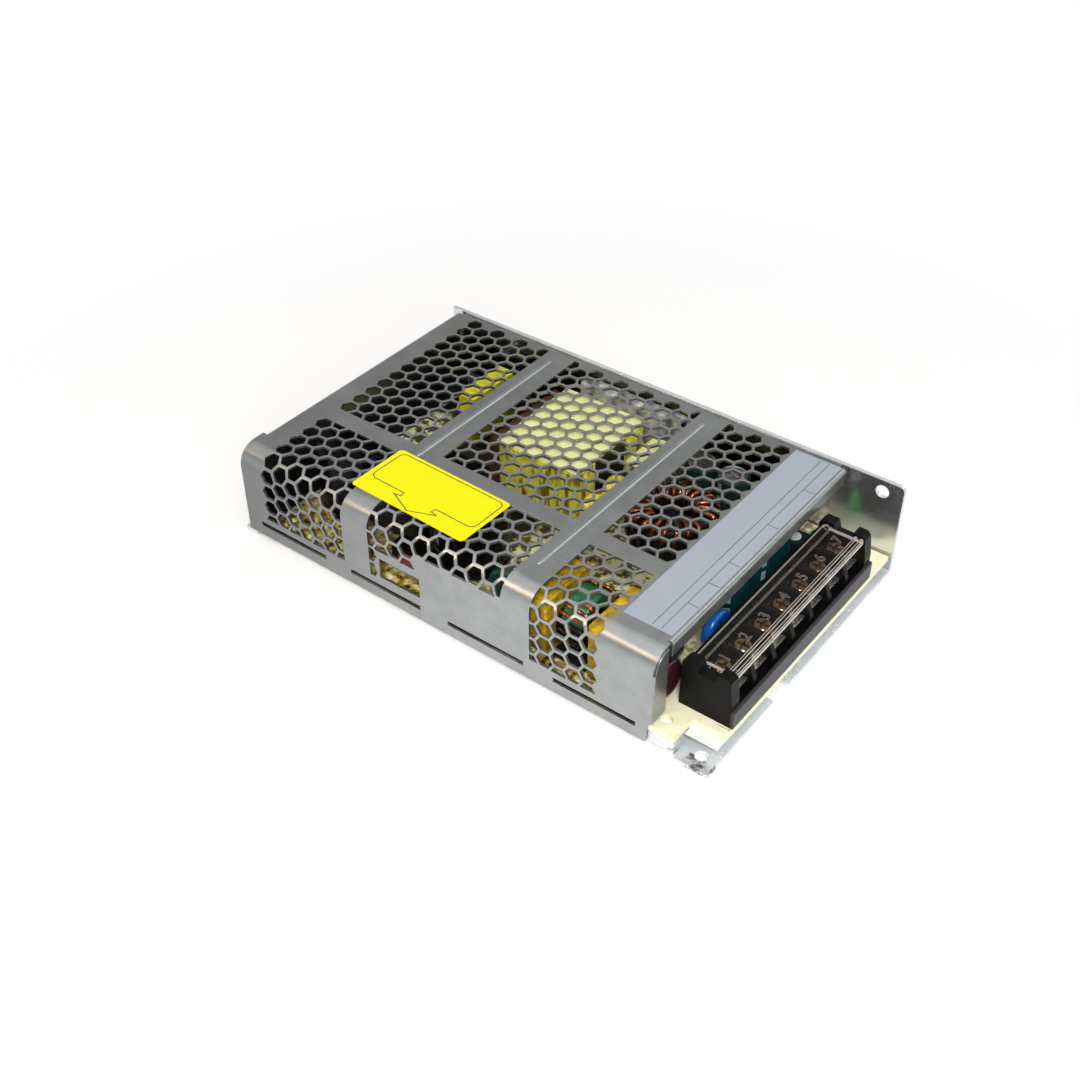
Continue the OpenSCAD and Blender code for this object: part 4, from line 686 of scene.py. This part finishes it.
def canTop(name, turn, look):
    # Height over a disc: a bell-shaped rim near the edge, less a bell-shaped groove along the
    # nearer of two crossed lines through the middle; the edge turns down into the can
    low, high, mid = spanOf(name)
    radius = (high[0] - low[0]) / 2 * look["wide"]
    out = np.linspace(0, 1, look["rings"] + 1)[1:, None] ** look["crowd"]
    angle = np.linspace(0, 2 * np.pi, look["spokes"], endpoint=False)[None, :]
    away = radius * out
    across = np.minimum(np.abs(away * np.cos(angle - turn)), np.abs(away * np.sin(angle - turn)))
    groove = look["score"] * np.exp(-(across / (look["scoreWide"] * radius)) ** 2)
    rim = look["rim"] * np.exp(-((out - look["rimAt"]) / look["rimWide"]) ** 2)
    height = look["lift"] + rim - groove * (out < look["scoreReach"])
    height = np.where(out >= 0.999, -look["sunk"], height)
    x, y = mid[0] + away * np.cos(angle), mid[1] + away * np.sin(angle)
    rings = np.stack([x, y, high[2] + height], -1)[::-1, ::-1]
    under, over = high[2] - look["sunk"], high[2] + look["lift"] - look["score"]
    return closedRings(rings, [mid[0], mid[1], under], [mid[0], mid[1], over])


aluminium = mouldedFinish("canAluminium", (0.60, 0.61, 0.62), rough=(0.24, 0.40), grain=0.3,
                          grainDepth=0.006, metallic=0.95)
sleeveBlack = mouldedFinish("sleeveBlack", (0.003, 0.0028, 0.006), rough=(0.22, 0.36), grain=0.5,
                            grainDepth=0.01, specular=0.08)
tops = {name: canTop(name, turn, canTopLook) for name, (sleeve, stripe, turn) in canLooks.items()}
bareTops = [top for name, top in tops.items() if "bulk" not in name]
blackTops = [top for name, top in tops.items() if "bulk" in name]
makePiece("canTops", joined(bareTops), aluminium)
makePiece("bulkTops", joined(blackTops), sleeveBlack)
print("coils and can tops made")


def bars(rects, z, thick=0.02):
    # Thin closed boxes on height z, one for each rectangle (x0, y0, x1, y1)
    r = np.asarray(rects, float)
    x = r[:, [0, 2, 2, 0, 0, 2, 2, 0]]
    y = r[:, [1, 1, 3, 3, 1, 1, 3, 3]]
    up = np.broadcast_to(np.array([0, 0, 0, 0, thick, thick, thick, thick]) + z, x.shape)
    sides = np.array([[3, 2, 1, 0], [4, 5, 6, 7], [0, 1, 5, 4],
                      [1, 2, 6, 5], [2, 3, 7, 6], [3, 0, 4, 7]])
    faces = (sides[None] + 8 * np.arange(len(r))[:, None, None]).reshape(-1, 4)
    return np.stack([x, y, up], -1).reshape(-1, 3), faces.tolist()


# Ruled table left empty on the label film, measured from its corner
rules = {"wide": 0.16, "lines": (8.1, 10.7), "splits": (69.6, 50.7, 31.5, 21.7, 12.2),
         "margin": 0.5, "frontMargin": 0.3}
ink = filmFinish("printInk", (0.03, 0.03, 0.035), rough=0.4, coat=0.1)
low, high, mid = spanOf("front_label")
half = rules["wide"] / 2
rects = [(low[0] + x - half, low[1] + rules["margin"], low[0] + x + half, high[1] - rules["margin"])
         for x in rules["lines"]]
back, front = low[0] + rules["lines"][1], high[0] - rules["frontMargin"]
rects += [(back, low[1] + y - half, front, low[1] + y + half) for y in rules["splits"]]
makePiece("labelRules", bars(rects, high[2]), ink, smooth=False)

# Empty frame on the sticker with an arrow to the selector, measured from the sticker's middle:
# rear, front, near and far edge, and the arrow's corners
stickerFrame = {"wide": 0.30, "turn": -1.6, "edges": (-18.3, 18.6, -4.2, 9.0), "corner": 1.9,
                "steps": 7, "arrow": [(-5.8, -4.2), (-5.5, -5.7), (-7.6, -6.1), (0.0, -9.4),
                                      (7.6, -6.1), (5.4, -5.7), (5.8, -4.2)]}


def framePath(look):
    # The arrow's corners, then a quarter circle at each corner of the rectangle, anticlockwise
    x0, x1, y0, y1 = look["edges"]
    r = look["corner"]
    quarter = np.linspace(0, np.pi / 2, look["steps"])
    middles = [(x1 - r, y0 + r), (x1 - r, y1 - r), (x0 + r, y1 - r), (x0 + r, y0 + r)]
    arcs = [np.array(middle) + r * np.stack([np.cos(quarter + start), np.sin(quarter + start)], 1)
            for middle, start in zip(middles, np.radians([-90, 0, 90, 180]))]
    return np.concatenate([np.array(look["arrow"])] + arcs)


def closedBand(points, wide, z, thick=0.02):
    # A flat band along a closed outline on height z. Each point goes out and in by half the width
    # along the sum of its two edge normals, which is divided by its own share along one of them.
    edge = np.roll(points, -1, 0) - points
    edge /= np.linalg.norm(edge, axis=1, keepdims=True)
    normal = np.stack([edge[:, 1], -edge[:, 0]], 1)
    aside = normal + np.roll(normal, 1, 0)
    aside *= wide / 2 / (aside * normal).sum(1, keepdims=True)
    out, into, top = points + aside, points - aside, z + thick
    corners = [(out, z), (out, top), (into, top), (into, z)]
    rings = np.stack([np.column_stack([at, np.full(len(at), height)]) for at, height in corners], 1)
    return rings.reshape(-1, 3), (gridFaces(len(points) + 1, 4) % (4 * len(points))).tolist()


low, high, mid = spanOf("selector_sticker")
band, faces = closedBand(framePath(stickerFrame), stickerFrame["wide"], high[2])
turn = math.radians(stickerFrame["turn"])
spin = np.array([[math.cos(turn), math.sin(turn)], [-math.sin(turn), math.cos(turn)]])
band[:, :2] = band[:, :2] @ spin + mid[:2]
makePiece("stickerFrame", (band, faces), ink, smooth=False)

# Outline of the terminal block printed on the board, with a tick at each partition
boardPrint = {"wide": 0.14, "off": 0.35, "tick": 0.5, "past": 0.6, "back": 3.0, "ways": 7}
low, high, mid = spanOf("terminal_body")
deck = spanOf("circuit_board")[1][2]
screwLow, screwHigh, screwMid = spanOf("terminal_screws")
ways, screwWide = boardPrint["ways"], screwHigh[0] - screwLow[0]
pitch = (screwHigh[1] - screwLow[1] - screwWide) / (ways - 1)
firstWay = screwLow[1] + screwWide / 2
front, half = high[0] + boardPrint["off"], boardPrint["wide"] / 2
nearEnd, farEnd = low[1] - boardPrint["past"], high[1] + boardPrint["past"]
rects = [(front - half, nearEnd, front + half, farEnd)]
rects += [(high[0] - boardPrint["back"], y - half, front, y + half) for y in (nearEnd, farEnd)]
for k in range(ways + 1):
    y = firstWay + (k - 0.5) * pitch
    rects.append((front, y - half, front + boardPrint["tick"], y + half))
makePiece("boardPrint", bars(rects, deck), ink, smooth=False)

# Deep front sill of the terminal block: an outline in x and z, measured from the lower front edge
# of the block, carried along its length
sill = {"deep": 0.9, "tall": 5.5, "slope": 0.35, "lap": 0.02}
# painted reflection: the sill is a paler grey than the black moulding of the block, for the floor
# mirrored in its front face
sillPaintedSheen = mouldedFinish("sillPaintedSheen", (0.034, 0.029, 0.038), rough=(0.34, 0.48), grain=0.35,
                         grainDepth=0.008, specular=0.3)
low, high, mid = spanOf("terminal_body")
foot, back, slope = low[2] + sill["lap"], high[0] + sill["lap"], sill["slope"]
front, top = high[0] + sill["deep"], foot + sill["tall"]
outline = np.array([(back, foot), (front, foot), (front, top - slope), (front - slope, top),
                    (back, top)])
rings = np.stack([np.column_stack([outline[:, 0], np.full(len(outline), y), outline[:, 1]])
                  for y in (low[1], high[1])])
centre = outline.mean(0)
poles = [[centre[0], y, centre[1]] for y in (low[1], high[1])]
makePiece("terminalSill", closedRings(rings, *poles), sillPaintedSheen, smooth=False)

# Terminal numbers: raised outlines on the lid over each screw, read from the front
digits = {"size": 4.4, "line": 0.08, "forward": 0.3, "proud": 0.03, "ribTall": 0.6, "steps": 4}
numberGrey = mouldedFinish("numberGrey", (0.24, 0.22, 0.19), rough=(0.3, 0.45), grain=0.4,
                           grainDepth=0.01)
lidTop = spanOf("terminal_lid")[1][2] - digits["ribTall"]  # the face that the ribs stand on
shapes = bmesh.new()
for k in range(ways):
    curve = bpy.data.curves.new("digit", "FONT")
    curve.body = str(k + 1)
    curve.size = digits["size"] * mm
    curve.fill_mode = "NONE"
    curve.bevel_depth = digits["line"] * mm
    curve.bevel_resolution = 0
    curve.resolution_u = digits["steps"]
    curve.align_x = "CENTER"
    curve.align_y = "CENTER"
    text = bpy.data.objects.new("digit", curve)
    bpy.context.scene.collection.objects.link(text)
    bpy.context.view_layer.update()
    drawn = text.evaluated_get(bpy.context.evaluated_depsgraph_get())
    shape = bpy.data.meshes.new_from_object(drawn)
    bpy.data.objects.remove(text)
    place = Vector((screwMid[0] + digits["forward"], firstWay + k * pitch,
                    lidTop + digits["proud"]))
    shape.transform(Matrix.Translation(place * mm) @ Matrix.Rotation(math.radians(90), 4, "Z"))
    shapes.from_mesh(shape)
numbers = bpy.data.meshes.new("terminalNumbers")
shapes.to_mesh(numbers)
shapes.free()
addPiece("terminalNumbers", numbers, numberGrey, "lid")
print("marks made")

# Floor: reach and drop in metres, the ring where it turns plain in millimetres
floorLook = {"tone": (0.95, 0.95, 0.95), "patch": 40.0, "reach": 4.0, "drop": 0.0002,
             "plain": (95.0, 230.0)}
paleFloor = bpy.data.materials.new("paleFloor")
paleFloor.use_nodes = True
tree = paleFloor.node_tree
tree.nodes.clear()


def seenRays(tree):
    # 1 for rays from the camera, from glossy surfaces and through clear ones
    rays = addNode(tree, "ShaderNodeLightPath").outputs
    return mathNode(tree, "MAXIMUM", rays["Is Camera Ray"],
                    mathNode(tree, "MAXIMUM", rays["Is Glossy Ray"], rays["Is Transmission Ray"]))


# The floor takes light and shadow near the object and runs out to plain white
coords = objectCoords(tree)
grainy = ramp(tree, noise(tree, coords, floorLook["patch"]),
              [(0.3, darker(floorLook["tone"], 0.99)), (0.7, floorLook["tone"])])
matt = addNode(tree, "ShaderNodeBsdfDiffuse", {"Color": grainy})
plain = addNode(tree, "ShaderNodeEmission", {"Color": (1, 1, 1, 1), "Strength": 1.0})
away = addNode(tree, "ShaderNodeVectorMath", {0: coords}, operation="LENGTH").outputs["Value"]
far = mathNode(tree, "MULTIPLY", towards(tree, away, *floorLook["plain"]), seenRays(tree))
surface = addNode(tree, "ShaderNodeMixShader", {0: far, 1: matt.outputs[0], 2: plain.outputs[0]})
addNode(tree, "ShaderNodeOutputMaterial", {0: surface.outputs[0]})
reach = floorLook["reach"]
floorMesh = bpy.data.meshes.new("floor")
corners = [(-reach, -reach, 0), (reach, -reach, 0), (reach, reach, 0), (-reach, reach, 0)]
floorMesh.from_pydata(corners, [], [(0, 1, 2, 3)])
floor = bpy.data.objects.new("floor", floorMesh)
floor.location.z = -floorLook["drop"]
bpy.context.scene.collection.objects.link(floor)
floorMesh.materials.append(paleFloor)


def softLamp(name, place, aim, size, energy, colour):
    # A round area lamp that looks from its place to its aim
    lamp = bpy.data.lights.new(name, "AREA")
    lamp.shape = "DISK"
    lamp.size = size
    lamp.energy = energy
    lamp.color = colour
    holder = bpy.data.objects.new(name, lamp)
    holder.location = place
    holder.rotation_euler = (Vector(aim) - Vector(place)).to_track_quat("-Z", "Y").to_euler()
    bpy.context.scene.collection.objects.link(holder)


# Each lamp: place, aim and size in metres, watts, colour
lamps = {
    "mainLamp": ((0.47, -0.60, 0.86), (0, 0, 0), 0.30, 7.2, (1.0, 0.985, 0.96)),
    "overheadLamp": ((0.05, -0.05, 1.10), (0, 0, 0), 0.35, 1.6, (1.0, 0.985, 0.96)),
    "keyLamp": ((-0.55, -0.75, 0.85), (0, 0, 0), 0.28, 2.4, (1.0, 0.76, 0.56)),
    "frontLamp": ((0.42, -0.38, 0.34), (0.04, -0.03, 0), 0.35, 1.0, (0.95, 0.98, 1.0)),
    "backLamp": ((0.5, 0.9, 0.9), (0, 0, 0.01), 0.6, 1.6, (1.0, 1.0, 1.0)),
}
for name, (place, aim, size, watts, colour) in lamps.items():
    softLamp(name, place, aim, size, watts, colour)

# The studio: an even soft light for matt surfaces. What is seen of it, directly, mirrored or
# through clear parts, is white with a dark band part of the way up, which gives the top its grey.
studioLook = {"tone": (0.955, 0.975, 1.0, 1), "strength": 0.40, "low": (0.120, 0.118, 0.106),
              "high": (0.640, 0.630, 0.590), "heights": (0.28, 0.38, 0.54, 0.72, 0.80)}
world = bpy.data.worlds.new("studio")
bpy.context.scene.world = world
world.use_nodes = True
tree = world.node_tree
tree.nodes.clear()
height = axes(tree, addNode(tree, "ShaderNodeTexCoord").outputs["Generated"])[2]
shades = [(1, 1, 1), studioLook["low"], studioLook["low"], studioLook["high"], (1, 1, 1)]
seen = ramp(tree, height, list(zip(studioLook["heights"], shades)))
walls = addNode(tree, "ShaderNodeBackground", {"Color": seen, "Strength": 1.0})
around = addNode(tree, "ShaderNodeBackground", {"Color": studioLook["tone"],
                                                "Strength": studioLook["strength"]})
mixed = addNode(tree, "ShaderNodeMixShader", {0: seenRays(tree), 1: around.outputs[0],
                                              2: walls.outputs[0]})
addNode(tree, "ShaderNodeOutputWorld", {0: mixed.outputs[0]})

# The photograph's own view: place in metres, angles in degrees, lens in millimetres
view = {"eye": (0.18875, -0.25811, 0.26609), "azimuth": 37.37, "elevation": 39.39,
        "lens": 48.06, "sensor": 36.0}
cameraData = bpy.data.cameras.new("camera")
cameraData.sensor_width = view["sensor"]
cameraData.lens = view["lens"]
cameraData.clip_start = 0.01
camera = bpy.data.objects.new("camera", cameraData)
azimuth, elevation = math.radians(view["azimuth"]), math.radians(view["elevation"])
level = math.cos(elevation)
back = Vector((math.sin(azimuth) * level, -math.cos(azimuth) * level, math.sin(elevation)))
camera.location = view["eye"]
camera.rotation_euler = back.to_track_quat("Z", "Y").to_euler()
bpy.context.scene.collection.objects.link(camera)
bpy.context.scene.camera = camera
bpy.context.scene.view_settings.view_transform = "Standard"
print("floor, light and camera set")
